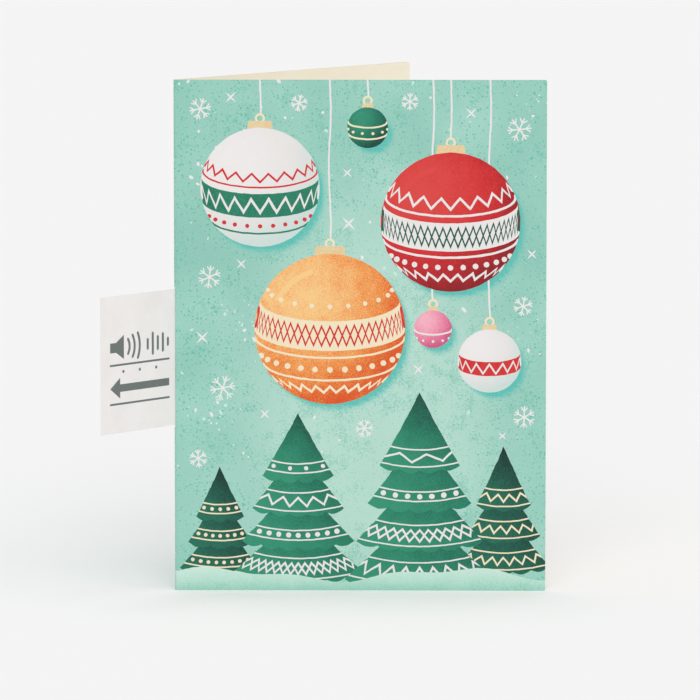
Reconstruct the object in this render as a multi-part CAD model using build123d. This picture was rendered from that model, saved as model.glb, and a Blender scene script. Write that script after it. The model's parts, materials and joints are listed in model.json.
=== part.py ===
from build123d import *
from math import cos, hypot, pi, radians, sin, tan
import os

# A sound greeting card standing open on its bottom edges, in millimetres, +Z up. The front cover lies along +X
# and the back leaf recedes from the fold. Each leaf is drawn flat, as x out from the fold, y up and z square to it.

# The folded card
COVER_W = 127.5  # fold to fore edge
COVER_H = 177.0
OPEN_ANGLE = 51.0  # between the two covers, as the card stands
FRONT_T = 0.35
BACK_T = 0.35
CORNER_R = 0.6
FOLD_GAP = 0.3  # each cover's flat sheet ends this far from the fold's axis
FOLD_BULGE = 0.3  # how far the bent board of the fold bows out

# The page glued over the back cover, which makes the pocket for the works
LINER_T = 0.25
LINER_INSET = 0.8
LINER_FOLD_GAP = 0.9
RAMP_RUN = 10.0  # width of the page's slope up to the raised panel
PANEL_MARGIN = 0.75
TAPE_W = 6.0
SPINE_TAPE_W = 2.3

# The pull-out test tag
TAG_HEIGHT = 47.2
TAG_REACH = 38.2  # how far it sticks out of the fold
TAG_INSIDE = 12.0  # how far its full height goes in
TAG_T = 0.22
TAG_CENTRE_Z = 81.2
TAG_SHOULDER = 10.0
TAG_TONGUE_W = 10.0
TAG_TONGUE_REACH = 8.0  # how far the tongue goes in under the circuit board
TAG_R = 0.8
SLIDE_GAP = 0.14  # room above and below a sliding sheet
SWING_GAP = 0.04  # room between the tag and the front cover laid flat
SLOT_GAP = 0.8

# The pull strap and the switch tongue that opening the card draws out
STRAP_W = 8.0
STRAP_T = 0.12
STRAP_GAP = 4.4  # above the tag's slot
STRAP_SLIT_U = 4.1
STRAP_SLIT_W = 1.6
STRAP_ANCHOR_START = 4.2
STRAP_ANCHOR_LENGTH = 12.0
STRAP_AIR = 0.3
TONGUE_START = 10.0
TONGUE_REACH = 12.0
TONGUE_WINDOW = 5.0
GUIDE_LENGTH = 4.0
GUIDE_WALL = 2.0
GUIDE_ROOF = 0.5
GUIDE_GAP = 0.4
GUIDE_OFFSET = 1.0

# The circuit board and what stands on it
MODULE_SHIFT = 4.0  # the works sit this far past the middle of the leaf
PART_GAP = 2.0
BOARD_W = 18.0
BOARD_T = 0.8
BOARD_BELOW = 11.0  # the board's reach below the tag's tongue
BOARD_ABOVE = 8.2  # the board's reach above the strap
BOARD_PAD = 3.0
SPRING_T = 0.12
SPRING_W = 3.0
SPRING_LENGTH = 9.0
SPRING_GAP = 0.07
FOIL_T = 0.06
FOIL_W = 4.0
FOIL_LENGTH = 12.0
BLOB_R = 4.6
BLOB_H = 1.4
RESISTOR = (1.6, 0.8, 0.5)
CAPACITOR = (2.0, 1.25, 0.9)
TRANSISTOR = (2.9, 1.3, 1.0)
SOLDER_R = 0.9
SOLDER_H = 0.7

# The button cells, their tray and plates
CELL_COUNT = 3
CELL_R = 5.8
CELL_T = 3.05
CELL_GAP = 1.4
CAP_R = 4.6
CAP_T = 0.35
GASKET_WALL = 0.8
GASKET_H = 0.2
TRAY_WALL = 0.8
TRAY_FLOOR = 0.3
TRAY_SIDE = 2.65
TRAY_CLEAR = 0.15
PLATE_T = 0.12
PLATE_W = 5.0
LEAD_W = 3.0
LEAD_LANDING = 2.6
CELL_PAD_T = 0.71

# The loudspeaker
SPEAKER_R = 18.0
POLE_R = 6.6
POLE_T = 0.5
MAGNET_LIP = 0.3
MAGNET_T = 1.2
AIR_GAP = 1.2
COIL_WALL = 0.4
COIL_H = 1.7
YOKE_WALL = 1.2
YOKE_FLOOR = 0.6
SEAT_T = 0.2
BASKET_T = 0.4
BASKET_DEPTH = 1.6
BASKET_STEP = 0.2  # the basket's floor lies this far under the yoke's top
BASKET_FIT = 0.05
CONE_T = 0.12
CONE_CLEAR = 0.1
DOME_H = 0.35
ROLL_H = 0.4
RIM_W = 1.6
RIM_SEAL_T = 0.68
TERMINAL = (7.0, 4.5, 0.5)
TERMINAL_ANGLE = 118.0

# The foam frame round the works, and the wires
FRAME_WALL = 4.0
FRAME_GAP = 1.5
FRAME_R = 5.0
TUNNEL_GAP = 0.6
WIRE_R = 0.45

# Levels square to the back leaf: 0 is the page's face, and the fold's axis lies in it
liner_under = -LINER_T
tag_top = -max(LINER_T + SLIDE_GAP, FRONT_T + SWING_GAP)
tag_under = tag_top - TAG_T
back_in = tag_under - SLIDE_GAP
back_out = back_in - BACK_T
slide_mid = (tag_top + tag_under) / 2
board_under = tag_top + SPRING_GAP + SPRING_T
board_top = board_under + BOARD_T
tray_floor = back_in + TRAY_FLOOR
cell_low = tray_floor + PLATE_T
cell_high = cell_low + CELL_T
plate_high = cell_high + PLATE_T
yoke_low = back_in + SEAT_T
yoke_floor = yoke_low + YOKE_FLOOR
yoke_top = yoke_floor + MAGNET_T + POLE_T
basket_low = yoke_top - BASKET_STEP - BASKET_T
rim_top = basket_low + BASKET_DEPTH
cone_top = rim_top + CONE_T
pocket_top = max(plate_high + CELL_PAD_T, cone_top + RIM_SEAL_T)
panel_face = pocket_top + LINER_T

# Heights above the table
tag_low_z = TAG_CENTRE_Z - TAG_HEIGHT / 2
tag_high_z = TAG_CENTRE_Z + TAG_HEIGHT / 2
strap_z = tag_high_z + SLOT_GAP + STRAP_GAP + STRAP_W / 2
board_low_z = TAG_CENTRE_Z - BOARD_BELOW
board_high_z = strap_z + BOARD_ABOVE
tray_side = 2 * (CELL_R + TRAY_CLEAR + TRAY_WALL)
tray_high_z = board_low_z - PART_GAP
cell_z = tray_high_z - tray_side / 2
window_low_z = tray_high_z - tray_side - FRAME_GAP
window_high_z = board_high_z + FRAME_GAP
speaker_z = (board_low_z + board_high_z) / 2

# Distances out from the fold
window_w = 2 * FRAME_GAP + BOARD_W + PART_GAP + 2 * SPEAKER_R
window_u = COVER_W / 2 + MODULE_SHIFT - window_w / 2
frame_u = window_u - FRAME_WALL
frame_far_u = window_u + window_w + FRAME_WALL
board_u = window_u + FRAME_GAP
board_far_u = board_u + BOARD_W
speaker_u = board_far_u + PART_GAP + SPEAKER_R
cell_pitch = 2 * CELL_R + CELL_GAP
cell_u = [board_u + TRAY_WALL + TRAY_CLEAR + CELL_R + n * cell_pitch for n in range(CELL_COUNT)]
tray_far_u = cell_u[-1] + CELL_R + TRAY_CLEAR + TRAY_WALL

back_leaf = Plane(
    origin=(0, 0, 0),
    x_dir=(cos(radians(OPEN_ANGLE)), sin(radians(OPEN_ANGLE)), 0),
    z_dir=(sin(radians(OPEN_ANGLE)), -cos(radians(OPEN_ANGLE)), 0),
)
front_leaf = Plane(origin=(0, 0, 0), x_dir=(1, 0, 0), z_dir=(0, -1, 0))


def slab(u0, u1, y0, y1, z0, z1):
    """A block of a leaf, from its near, low and outer corner to the opposite one."""
    return Pos(u0, y0, z0) * Box(u1 - u0, y1 - y0, z1 - z0, align=(Align.MIN, Align.MIN, Align.MIN))


def sheet(outline, z0, z1):
    """A flat outline drawn on a leaf, cut from board between two levels."""
    return Pos(0, 0, z0) * extrude(outline, amount=z1 - z0)


def seen_from_above(outline, y0, y1):
    """A section in x and z of a leaf, drawn up the leaf between two heights."""
    top = Plane(origin=(0, y1, 0), x_dir=(1, 0, 0), z_dir=(0, -1, 0))
    return extrude(top * outline, amount=y1 - y0)


def seen_from_fold(outline, u0, u1):
    """A section in y and z of a leaf, drawn outwards between two distances from the fold."""
    return extrude(Plane(origin=(u0, 0, 0), x_dir=(0, 1, 0), z_dir=(1, 0, 0)) * outline, amount=u1 - u0)


def dome(radius, height):
    """A cap of a ball, standing on level 0."""
    ball_r = (radius**2 + height**2) / (2 * height)
    above = Cylinder(2 * radius, 2 * height, align=(Align.CENTER, Align.CENTER, Align.MIN))
    return (Pos(0, 0, height - ball_r) * Sphere(ball_r)) & above


def turned(points, u, y):
    """A ring or disc from a section in radius and level, standing at a place on a leaf."""
    section = make_face(Polyline(*points, close=True))
    return Pos(u, y, 0) * revolve(Plane.XZ * section, Axis.Z)


def front_cover():
    blank = Pos((FOLD_GAP + COVER_W) / 2, COVER_H / 2) * Rectangle(COVER_W - FOLD_GAP, COVER_H)
    blank = fillet(blank.vertices().group_by(Axis.X)[-1], CORNER_R)
    return sheet(blank, 0, FRONT_T)


def back_cover():
    blank = Pos((FOLD_GAP + COVER_W) / 2, COVER_H / 2) * Rectangle(COVER_W - FOLD_GAP, COVER_H)
    blank = fillet(blank.vertices().group_by(Axis.X)[-1], CORNER_R)
    return sheet(blank, back_out, back_in)


def on_front_cover(along, inwards):
    """Where a point of the front cover's section lies in the back leaf's section."""
    turn = radians(OPEN_ANGLE)
    return (along * cos(turn) + inwards * sin(turn), along * sin(turn) - inwards * cos(turn))


def bowed(start, end, bulge):
    """An arc between two points of a section that bows away from the leaf."""
    run, rise = end[0] - start[0], end[1] - start[1]
    length = hypot(run, rise)
    middle = ((start[0] + end[0]) / 2 - bulge * rise / length, (start[1] + end[1]) / 2 + bulge * run / length)
    return ThreePointArc(start, middle, end)


def spine_fold():
    """The bent board that joins the covers, above and below the slot that the tag comes out of."""
    inner_back, outer_back = (FOLD_GAP, back_in), (FOLD_GAP, back_out)
    inner_front, outer_front = on_front_cover(FOLD_GAP, 0), on_front_cover(FOLD_GAP, -FRONT_T)
    inner = bowed(inner_back, inner_front, FOLD_BULGE)
    outer = bowed(outer_back, outer_front, FOLD_BULGE + (FRONT_T + BACK_T) / 2)
    rim = [inner, Line(inner_front, outer_front), outer, Line(outer_back, inner_back)]
    section = make_face(Curve() + rim)
    lower = seen_from_above(section, 0, tag_low_z - SLOT_GAP)
    upper = seen_from_above(section, tag_high_z + SLOT_GAP, COVER_H)
    return Compound([lower, upper])


def liner_page():
    """The page: a flat border and a raised panel over the works, with slopes between them."""
    page = slab(LINER_FOLD_GAP, COVER_W - LINER_INSET, LINER_INSET, COVER_H - LINER_INSET, liner_under, 0)
    low_u, far_u = frame_u - PANEL_MARGIN, frame_far_u + PANEL_MARGIN
    low_z = window_low_z - FRAME_WALL - PANEL_MARGIN
    high_z = window_high_z + FRAME_WALL + PANEL_MARGIN
    centre = Pos((low_u + far_u) / 2, (low_z + high_z) / 2)
    wide, tall, corner = far_u - low_u, high_z - low_z, FRAME_R + PANEL_MARGIN
    top = RectangleRounded(wide, tall, corner)
    foot = RectangleRounded(wide + 2 * RAMP_RUN, tall + 2 * RAMP_RUN, corner + RAMP_RUN)
    hill = centre * loft([foot, Pos(0, 0, panel_face) * top], ruled=True)
    slit_low, slit_high = strap_z - STRAP_W / 2 - GUIDE_GAP, strap_z + STRAP_W / 2 + GUIDE_GAP
    slit_u, slit_far_u = STRAP_SLIT_U - STRAP_SLIT_W / 2, STRAP_SLIT_U + STRAP_SLIT_W / 2
    return page + hill - Pos(0, 0, -LINER_T) * hill - slab(slit_u, slit_far_u, slit_low, slit_high, liner_under, 0)


def edge_tapes():
    """Glue tape round the page's border. It stops at the tag's slot, and is narrow along the fold."""
    near, far = LINER_FOLD_GAP, COVER_W - LINER_INSET
    low, high = LINER_INSET, COVER_H - LINER_INSET
    fold_far = near + SPINE_TAPE_W
    slot_low, slot_high = tag_low_z - SLOT_GAP, tag_high_z + SLOT_GAP
    strips = [
        (near, far, low, low + TAPE_W),
        (near, far, high - TAPE_W, high),
        (far - TAPE_W, far, low + TAPE_W, high - TAPE_W),
        (near, fold_far, low + TAPE_W, slot_low),
        (near, fold_far, slot_high, high - TAPE_W),
    ]
    return Compound([slab(*strip, back_in, liner_under) for strip in strips])


def test_tag():
    """The tag's full height passes the fold, and its tongue parts the battery contact."""
    tongue_end = board_u + TAG_TONGUE_REACH
    half, narrow = TAG_HEIGHT / 2, TAG_TONGUE_W / 2
    points = [
        (-TAG_REACH, -half),
        (TAG_INSIDE, -half),
        (TAG_INSIDE + TAG_SHOULDER, -narrow),
        (tongue_end, -narrow),
        (tongue_end, narrow),
        (TAG_INSIDE + TAG_SHOULDER, narrow),
        (TAG_INSIDE, half),
        (-TAG_REACH, half),
    ]
    outline = make_face(Polyline(*points, close=True))
    outline = fillet(outline.vertices().group_by(Axis.X)[0], TAG_R)
    return sheet(Pos(0, TAG_CENTRE_Z) * outline, tag_under, tag_top)


def switch_tongue():
    """A stiff tongue that the strap draws under the board. Its window lets the switch contact close."""
    low, high = strap_z - STRAP_W / 2, strap_z + STRAP_W / 2
    end = board_u + TONGUE_REACH
    half = SPRING_W / 2 + GUIDE_GAP
    window = slab(board_u, board_u + TONGUE_WINDOW, strap_z - half, strap_z + half, tag_under, tag_top)
    return slab(TONGUE_START, end, low, high, tag_under, tag_top) - window


def pull_strap():
    """The strap's free length, from the tongue up through the slit to the front cover."""
    end = on_front_cover(STRAP_ANCHOR_START, STRAP_AIR)
    path = [
        (TONGUE_START - STRAP_T, slide_mid),
        (STRAP_SLIT_U + STRAP_SLIT_W / 2, slide_mid),
        (STRAP_SLIT_U, 0),
        end,
    ]
    section = trace(Polyline(*path), STRAP_T)
    return seen_from_above(section, strap_z - STRAP_W / 2, strap_z + STRAP_W / 2)


def strap_anchor():
    """The strap's end, glued inside the front cover."""
    end = STRAP_ANCHOR_START + STRAP_ANCHOR_LENGTH
    return slab(STRAP_ANCHOR_START, end, strap_z - STRAP_W / 2, strap_z + STRAP_W / 2, -STRAP_T, 0)


def switch_guide():
    """A small bridge on the back cover that the switch tongue runs under."""
    far = frame_u - GUIDE_OFFSET
    near = far - GUIDE_LENGTH
    half = STRAP_W / 2 + GUIDE_GAP
    roof = liner_under + GUIDE_ROOF
    bridge = slab(near, far, strap_z - half - GUIDE_WALL, strap_z + half + GUIDE_WALL, back_in, roof)
    return bridge - slab(near, far, strap_z - half, strap_z + half, back_in, liner_under)


def spacer_frame():
    """A foam frame that keeps the page clear of the works, with a tunnel for each sliding tongue."""
    wide, tall = frame_far_u - frame_u, window_high_z - window_low_z + 2 * FRAME_WALL
    centre = Pos((frame_u + frame_far_u) / 2, (window_low_z + window_high_z) / 2)
    ring = RectangleRounded(wide, tall, FRAME_R) - Rectangle(wide - 2 * FRAME_WALL, tall - 2 * FRAME_WALL)
    body = sheet(centre * ring, back_in, pocket_top)
    for middle, width in ((TAG_CENTRE_Z, TAG_TONGUE_W), (strap_z, STRAP_W)):
        half = width / 2 + TUNNEL_GAP
        body -= slab(frame_u, window_u, middle - half, middle + half, back_in, liner_under)
    return body


def circuit_board():
    return slab(board_u, board_far_u, board_low_z, board_high_z, board_under, board_top)


def board_pads():
    """Foam pads that stick the board to the back cover, clear of both tongues."""
    between = (TAG_CENTRE_Z + TAG_TONGUE_W / 2 + strap_z - STRAP_W / 2) / 2
    rows = (board_low_z, between - BOARD_PAD / 2, board_high_z - BOARD_PAD)
    columns = (board_u, board_far_u - BOARD_PAD)
    spots = [(u, z) for u in columns for z in rows]
    return Compound([slab(u, u + BOARD_PAD, z, z + BOARD_PAD, back_in, board_under) for u, z in spots])


def contact_spring(middle):
    """A thin spring strip under the board that presses down through a tongue's place."""
    near, half = board_u + 1, SPRING_W / 2
    return slab(near, near + SPRING_LENGTH, middle - half, middle + half, board_under - SPRING_T, board_under)


def contact_foil(middle):
    """The foil on the back cover that a contact spring meets once the tongue has gone."""
    near, half = board_u + 1, FOIL_W / 2
    return slab(near, near + FOIL_LENGTH, middle - half, middle + half, back_in, back_in + FOIL_T)


def on_board(size, u, z):
    """A small moulded component that stands on the board."""
    wide, tall, thick = size
    return slab(u - wide / 2, u + wide / 2, z - tall / 2, z + tall / 2, board_top, board_top + thick)


def chip_blob():
    """The black resin dome over the sound chip."""
    return Pos((board_u + board_far_u) / 2, (TAG_CENTRE_Z + strap_z) / 2, board_top) * dome(BLOB_R, BLOB_H)


wire_pads = [(board_far_u - 4.6, board_high_z - 2.4), (board_far_u - 4.6, board_high_z - 6.0)]
battery_pad = (board_far_u - 4.6, board_low_z + 3.4)


def solder_joints():
    """Solder on the board where the three wires start."""
    return Compound([Pos(u, z, board_top) * dome(SOLDER_R, SOLDER_H) for u, z in wire_pads + [battery_pad]])


def cell_tray():
    """A shallow moulded tray, open at the top, with a round place for each cell."""
    body = slab(board_u, tray_far_u, tray_high_z - tray_side, tray_high_z, back_in, back_in + TRAY_SIDE)
    well = slab(cell_u[0], cell_u[-1], cell_z - PLATE_W / 2, cell_z + PLATE_W / 2, tray_floor, cell_high)
    for u in cell_u:
        round_place = Cylinder(CELL_R + TRAY_CLEAR, CELL_T, align=(Align.CENTER, Align.CENTER, Align.MIN))
        well += Pos(u, cell_z, tray_floor) * round_place
    last = cell_u[-1]
    notch_top = cell_low + TRAY_CLEAR
    notch = slab(last - LEAD_W / 2, last + LEAD_W / 2, cell_z, tray_high_z, tray_floor, notch_top)
    return body - well - notch


def cell_parts():
    """The cells stand head to tail in series, each a can, a nylon gasket and a cap."""
    cans, caps, gaskets = [], [], []
    can_t = CELL_T - CAP_T
    base = (Align.CENTER, Align.CENTER, Align.MIN)
    can = Cylinder(CELL_R, can_t, align=base)
    cap = Pos(0, 0, can_t) * Cylinder(CAP_R, CAP_T, align=base)
    ring = Cylinder(CAP_R + GASKET_WALL, GASKET_H, align=base) - Cylinder(CAP_R, GASKET_H, align=base)
    gasket = Pos(0, 0, can_t) * ring
    for n, u in enumerate(cell_u):
        if n % 2:
            seat = Pos(u, cell_z, cell_low)
        else:
            seat = Pos(u, cell_z, cell_high) * Rot(180, 0, 0)
        cans.append(seat * can)
        caps.append(seat * cap)
        gaskets.append(seat * gasket)
    return Compound(cans), Compound(caps), Compound(gaskets)


def cell_links():
    """Nickel strips that join neighbouring cells, by turns under and over them."""
    links = []
    for n in range(CELL_COUNT - 1):
        low = cell_high if n % 2 else tray_floor
        reach = PLATE_W / 2
        links.append(slab(cell_u[n] - reach, cell_u[n + 1] + reach, cell_z - reach, cell_z + reach, low, low + PLATE_T))
    return Compound(links)


def positive_lead():
    """A nickel strip from the first cell's top down to the board."""
    drop = tray_high_z + LEAD_W / 6
    land = board_low_z + LEAD_W / 4
    points = [
        (cell_z - PLATE_W / 2, cell_high),
        (drop, cell_high),
        (land, board_top),
        (land + LEAD_LANDING, board_top),
        (land + LEAD_LANDING, board_top + PLATE_T),
        (land + PLATE_T, board_top + PLATE_T),
        (drop + PLATE_T, plate_high),
        (cell_z - PLATE_W / 2, plate_high),
    ]
    section = make_face(Polyline(*points, close=True))
    return seen_from_fold(section, cell_u[0] - LEAD_W / 2, cell_u[0] + LEAD_W / 2)


def negative_plate():
    """The plate under the last cell, with a tail out of the tray for its wire."""
    last, reach = cell_u[-1], PLATE_W / 2
    plate = slab(last - reach, last + reach, cell_z - reach, cell_z + reach, tray_floor, cell_low)
    tail_w = LEAD_W / 2 - TRAY_CLEAR
    tail = slab(last - tail_w, last + tail_w, cell_z, tray_high_z + PART_GAP - WIRE_R, tray_floor, cell_low)
    return plate + tail


def cell_pad():
    """A foam pad that holds the cells down under the page."""
    near, far = cell_u[0] - CELL_R / 2, cell_u[-1] + CELL_R / 2
    return slab(near, far, cell_z - PLATE_W / 2, cell_z + PLATE_W / 2, plate_high, pocket_top)


magnet_r = POLE_R - MAGNET_LIP
yoke_in_r = POLE_R + AIR_GAP
yoke_r = yoke_in_r + YOKE_WALL
coil_r = POLE_R + (AIR_GAP - COIL_WALL) / 2
dome_r = coil_r + COIL_WALL + CONE_T


def disc(radius, low, high):
    """A plain disc on the loudspeaker's axis."""
    plain = Cylinder(radius, high - low, align=(Align.CENTER, Align.CENTER, Align.MIN))
    return Pos(speaker_u, speaker_z, low) * plain


def speaker_yoke():
    points = [
        (0, yoke_low),
        (yoke_r, yoke_low),
        (yoke_r, yoke_top),
        (yoke_in_r, yoke_top),
        (yoke_in_r, yoke_floor),
        (0, yoke_floor),
    ]
    return turned(points, speaker_u, speaker_z)


def speaker_basket():
    """The pressed dish round the yoke, with the rim that the cone is stuck to."""
    hole = yoke_r + BASKET_FIT
    rim_in = SPEAKER_R - RIM_W / 2
    points = [
        (hole, basket_low),
        (SPEAKER_R, basket_low),
        (SPEAKER_R, rim_top),
        (rim_in, rim_top),
        (rim_in, basket_low + BASKET_T),
        (hole, basket_low + BASKET_T),
    ]
    return turned(points, speaker_u, speaker_z)


def cone_surround():
    """The clear film ring of the cone, with one round roll."""
    inner, roll_in, roll_out = dome_r + CONE_CLEAR, dome_r + 2.4, SPEAKER_R - RIM_W
    crown = (roll_in + roll_out) / 2
    under = [
        Line((inner, rim_top), (roll_in, rim_top)),
        ThreePointArc((roll_in, rim_top), (crown, rim_top + ROLL_H), (roll_out, rim_top)),
        Line((roll_out, rim_top), (SPEAKER_R, rim_top)),
        Line((SPEAKER_R, rim_top), (SPEAKER_R, cone_top)),
        Line((SPEAKER_R, cone_top), (roll_out, cone_top)),
        ThreePointArc((roll_out, cone_top), (crown, cone_top + ROLL_H), (roll_in, cone_top)),
        Line((roll_in, cone_top), (inner, cone_top)),
        Line((inner, cone_top), (inner, rim_top)),
    ]
    section = make_face(Curve() + under)
    return Pos(speaker_u, speaker_z, 0) * revolve(Plane.XZ * section, Axis.Z)


def cone_dome():
    """The film dome in the middle of the cone, which moves with the coil."""
    cap = dome(coil_r, DOME_H)
    seat = Pos(speaker_u, speaker_z, 0)
    return disc(dome_r, rim_top, cone_top) + seat * Pos(0, 0, cone_top) * cap - seat * Pos(0, 0, rim_top) * cap


def voice_coil():
    points = [
        (coil_r, rim_top - COIL_H),
        (coil_r + COIL_WALL, rim_top - COIL_H),
        (coil_r + COIL_WALL, rim_top),
        (coil_r, rim_top),
    ]
    return turned(points, speaker_u, speaker_z)


def rim_seal():
    """A foam ring between the cone's rim and the page."""
    return disc(SPEAKER_R, cone_top, pocket_top) - disc(SPEAKER_R - RIM_W, cone_top, pocket_top)


terminal_r = (yoke_r + SPEAKER_R) / 2
terminal_u = speaker_u + terminal_r * cos(radians(TERMINAL_ANGLE))
terminal_z = speaker_z + terminal_r * sin(radians(TERMINAL_ANGLE))


def terminal_board():
    """The small board under the basket that the two wires are soldered to."""
    wide, deep, thick = TERMINAL
    block = Box(wide, deep, thick, align=(Align.CENTER, Align.CENTER, Align.MAX))
    return Pos(terminal_u, terminal_z, basket_low) * Rot(0, 0, TERMINAL_ANGLE - 90) * block


def wire(points):
    """A tube of straight runs and round bends, each bend as large as the runs beside it allow."""
    corners = [Vector(*point) for point in points]
    radii = []
    for before, corner, after in zip(corners, corners[1:], corners[2:]):
        arrive, leave = corner - before, after - corner
        half_turn = radians(arrive.get_angle(leave)) / 2
        radii.append(0.45 * min(arrive.length, leave.length) / tan(half_turn))
    path = FilletPolyline(*corners, radius=radii)
    tube = sweep(Plane(origin=path @ 0, z_dir=path % 0) * Circle(WIRE_R), path=path)
    print("wire length %.1f, tightest bend %.1f, volume over section times length %.4f"
          % (path.length, min(radii), tube.volume / (pi * WIRE_R**2 * path.length)))
    return tube


def speaker_wire(pad, side):
    """From the board, round the gap above the loudspeaker, to its terminal. side is -1 or 1 along the terminal."""
    u, z = pad
    start = board_top + WIRE_R + SOLDER_H / 8
    low = basket_low - TERMINAL[2] - WIRE_R
    along = TERMINAL[0] / 4 * side
    turn = radians(TERMINAL_ANGLE - 90)
    end_u, end_z = terminal_u + along * cos(turn), terminal_z + along * sin(turn)
    return wire([
        (u + SOLDER_R, z, start),
        (u + 5.2, z + 0.3 * side, start),
        (u + 10.0, z - 0.8, start - 0.35),
        (end_u - 1.6, end_z + 6.6, low),
        (end_u + 0.2, end_z + 2.6, low),
        (end_u, end_z, low),
    ])


def battery_wire():
    """From the last cell's plate round under the loudspeaker's edge to the board."""
    low = cell_low + WIRE_R
    end = board_top + WIRE_R + SOLDER_H / 8
    start_z = tray_high_z + PART_GAP / 2
    u, z = battery_pad
    return wire([
        (cell_u[-1] - LEAD_W / 8, start_z, low),
        (cell_u[-1] - 4.0, start_z + 0.6, low),
        (board_far_u + 5.0, start_z + 2.6, low + 0.9),
        (board_far_u + 1.4, z + 1.2, end),
        (u + SOLDER_R, z, end),
    ])


cell_cans, cell_caps, cell_gaskets = cell_parts()
chip_mid = (board_u + board_far_u) / 2
row_z = board_high_z - 12.0

on_back_leaf = {
    "back_cover": back_cover(),
    "spine_fold": spine_fold(),
    "liner_page": liner_page(),
    "edge_tapes": edge_tapes(),
    "test_tag": test_tag(),
    "switch_tongue": switch_tongue(),
    "pull_strap": pull_strap(),
    "switch_guide": switch_guide(),
    "spacer_frame": spacer_frame(),
    "circuit_board": circuit_board(),
    "board_pads": board_pads(),
    "tag_contact_spring": contact_spring(TAG_CENTRE_Z),
    "tag_contact_foil": contact_foil(TAG_CENTRE_Z),
    "switch_contact_spring": contact_spring(strap_z),
    "switch_contact_foil": contact_foil(strap_z),
    "chip_blob": chip_blob(),
    "chip_resistors": Compound([on_board(RESISTOR, chip_mid - 5.2, row_z - 2.0 * n) for n in range(3)]),
    "chip_capacitor": on_board(CAPACITOR, chip_mid - 0.8, row_z),
    "transistor": on_board(TRANSISTOR, chip_mid - 0.8, row_z - 3.4),
    "solder_joints": solder_joints(),
    "cell_tray": cell_tray(),
    "cell_cans": cell_cans,
    "cell_caps": cell_caps,
    "cell_gaskets": cell_gaskets,
    "cell_links": cell_links(),
    "positive_lead": positive_lead(),
    "negative_plate": negative_plate(),
    "cell_pad": cell_pad(),
    "speaker_seat": disc(yoke_r, back_in, yoke_low),
    "speaker_yoke": speaker_yoke(),
    "speaker_magnet": disc(magnet_r, yoke_floor, yoke_floor + MAGNET_T),
    "pole_plate": disc(POLE_R, yoke_floor + MAGNET_T, yoke_top),
    "speaker_basket": speaker_basket(),
    "cone_surround": cone_surround(),
    "cone_dome": cone_dome(),
    "voice_coil": voice_coil(),
    "rim_seal": rim_seal(),
    "terminal_board": terminal_board(),
    "speaker_wire_red": speaker_wire(wire_pads[0], 1),
    "speaker_wire_black": speaker_wire(wire_pads[1], -1),
    "battery_wire": battery_wire(),
}
on_front_leaf = {
    "front_cover": front_cover(),
    "strap_anchor": strap_anchor(),
}

pieces = {name: back_leaf.location * piece for name, piece in on_back_leaf.items()}
pieces.update({name: front_leaf.location * piece for name, piece in on_front_leaf.items()})

# The origin is the middle of the card's footprint, on the table
bounds = Compound(list(pieces.values())).bounding_box()
footprint = Vector((bounds.min.X + bounds.max.X) / 2, (bounds.min.Y + bounds.max.Y) / 2, 0)
print("fold axis at x %.4f, y %.4f" % (-footprint.X, -footprint.Y))
print("page panel %.2f above the fold's axis from %.2f out" % (panel_face, frame_u - PANEL_MARGIN))

os.makedirs("parts", exist_ok=True)
for name, piece in pieces.items():
    export_step(Pos(-footprint.X, -footprint.Y, 0) * piece, f"parts/{name}.step")
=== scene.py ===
import json
import random
from math import acos, cos, hypot, pi, radians, sin, tan

import bmesh
import bpy
from mathutils import Matrix, Vector, noise
from mathutils.geometry import delaunay_2d_cdt


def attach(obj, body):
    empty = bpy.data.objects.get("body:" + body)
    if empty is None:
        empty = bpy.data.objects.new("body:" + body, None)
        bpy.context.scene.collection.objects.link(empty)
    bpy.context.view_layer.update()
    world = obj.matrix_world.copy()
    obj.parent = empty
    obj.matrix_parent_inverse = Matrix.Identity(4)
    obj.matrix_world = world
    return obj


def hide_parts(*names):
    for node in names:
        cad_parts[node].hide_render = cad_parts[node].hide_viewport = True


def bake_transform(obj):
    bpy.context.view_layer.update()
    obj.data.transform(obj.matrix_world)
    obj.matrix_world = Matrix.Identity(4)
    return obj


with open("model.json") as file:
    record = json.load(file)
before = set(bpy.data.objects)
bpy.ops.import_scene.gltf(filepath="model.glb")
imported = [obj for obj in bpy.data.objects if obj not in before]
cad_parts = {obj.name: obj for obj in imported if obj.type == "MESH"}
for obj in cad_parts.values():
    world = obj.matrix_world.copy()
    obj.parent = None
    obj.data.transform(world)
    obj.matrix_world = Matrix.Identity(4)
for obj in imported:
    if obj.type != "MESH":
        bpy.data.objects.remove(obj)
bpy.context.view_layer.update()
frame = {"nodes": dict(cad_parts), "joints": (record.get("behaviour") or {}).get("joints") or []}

# Front cover
# The leaf that faces the viewer, half of one blank of coated board: offset printed on its outside with a
# winter design in grainy inks, varnished satin, cut square and scored at the fold. Its inside is cream.

MM = 0.001
UP = Vector((0, 0, 1))
hinge = next(joint for joint in frame["joints"] if joint["name"] == "cover_hinge")
tag_slide = next(joint for joint in frame["joints"] if joint["name"] == "tag_slide")
fold_foot = Vector(hinge["pos_m"])


def leaf_frame(out):
    """A leaf's own frame, in millimetres: x out from the fold, y up and z square to the leaf."""
    axes = Matrix((out, UP, out.cross(UP))).transposed().to_4x4()
    return Matrix.Translation(fold_foot) @ axes @ Matrix.Scale(MM, 4)


front_leaf = leaf_frame(Vector((1, 0, 0)))
back_leaf = leaf_frame(-Vector(tag_slide["axis"]).normalized())


def leaf_box(node, leaf):
    """The lowest and highest corner of a CAD node in a leaf's own frame."""
    to_leaf = leaf.inverted()
    corners = [to_leaf @ vertex.co for vertex in frame["nodes"][node].data.vertices]
    return [Vector(pick(axis) for axis in zip(*corners)) for pick in (min, max)]


def linear(hexed):
    """An sRGB hex value as the linear colour that a shader takes."""
    parts = [int(hexed[n:n + 2], 16) / 255 for n in (1, 3, 5)]
    return [p / 12.92 if p <= 0.04045 else ((p + 0.055) / 1.055) ** 2.4 for p in parts] + [1.0]


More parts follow.
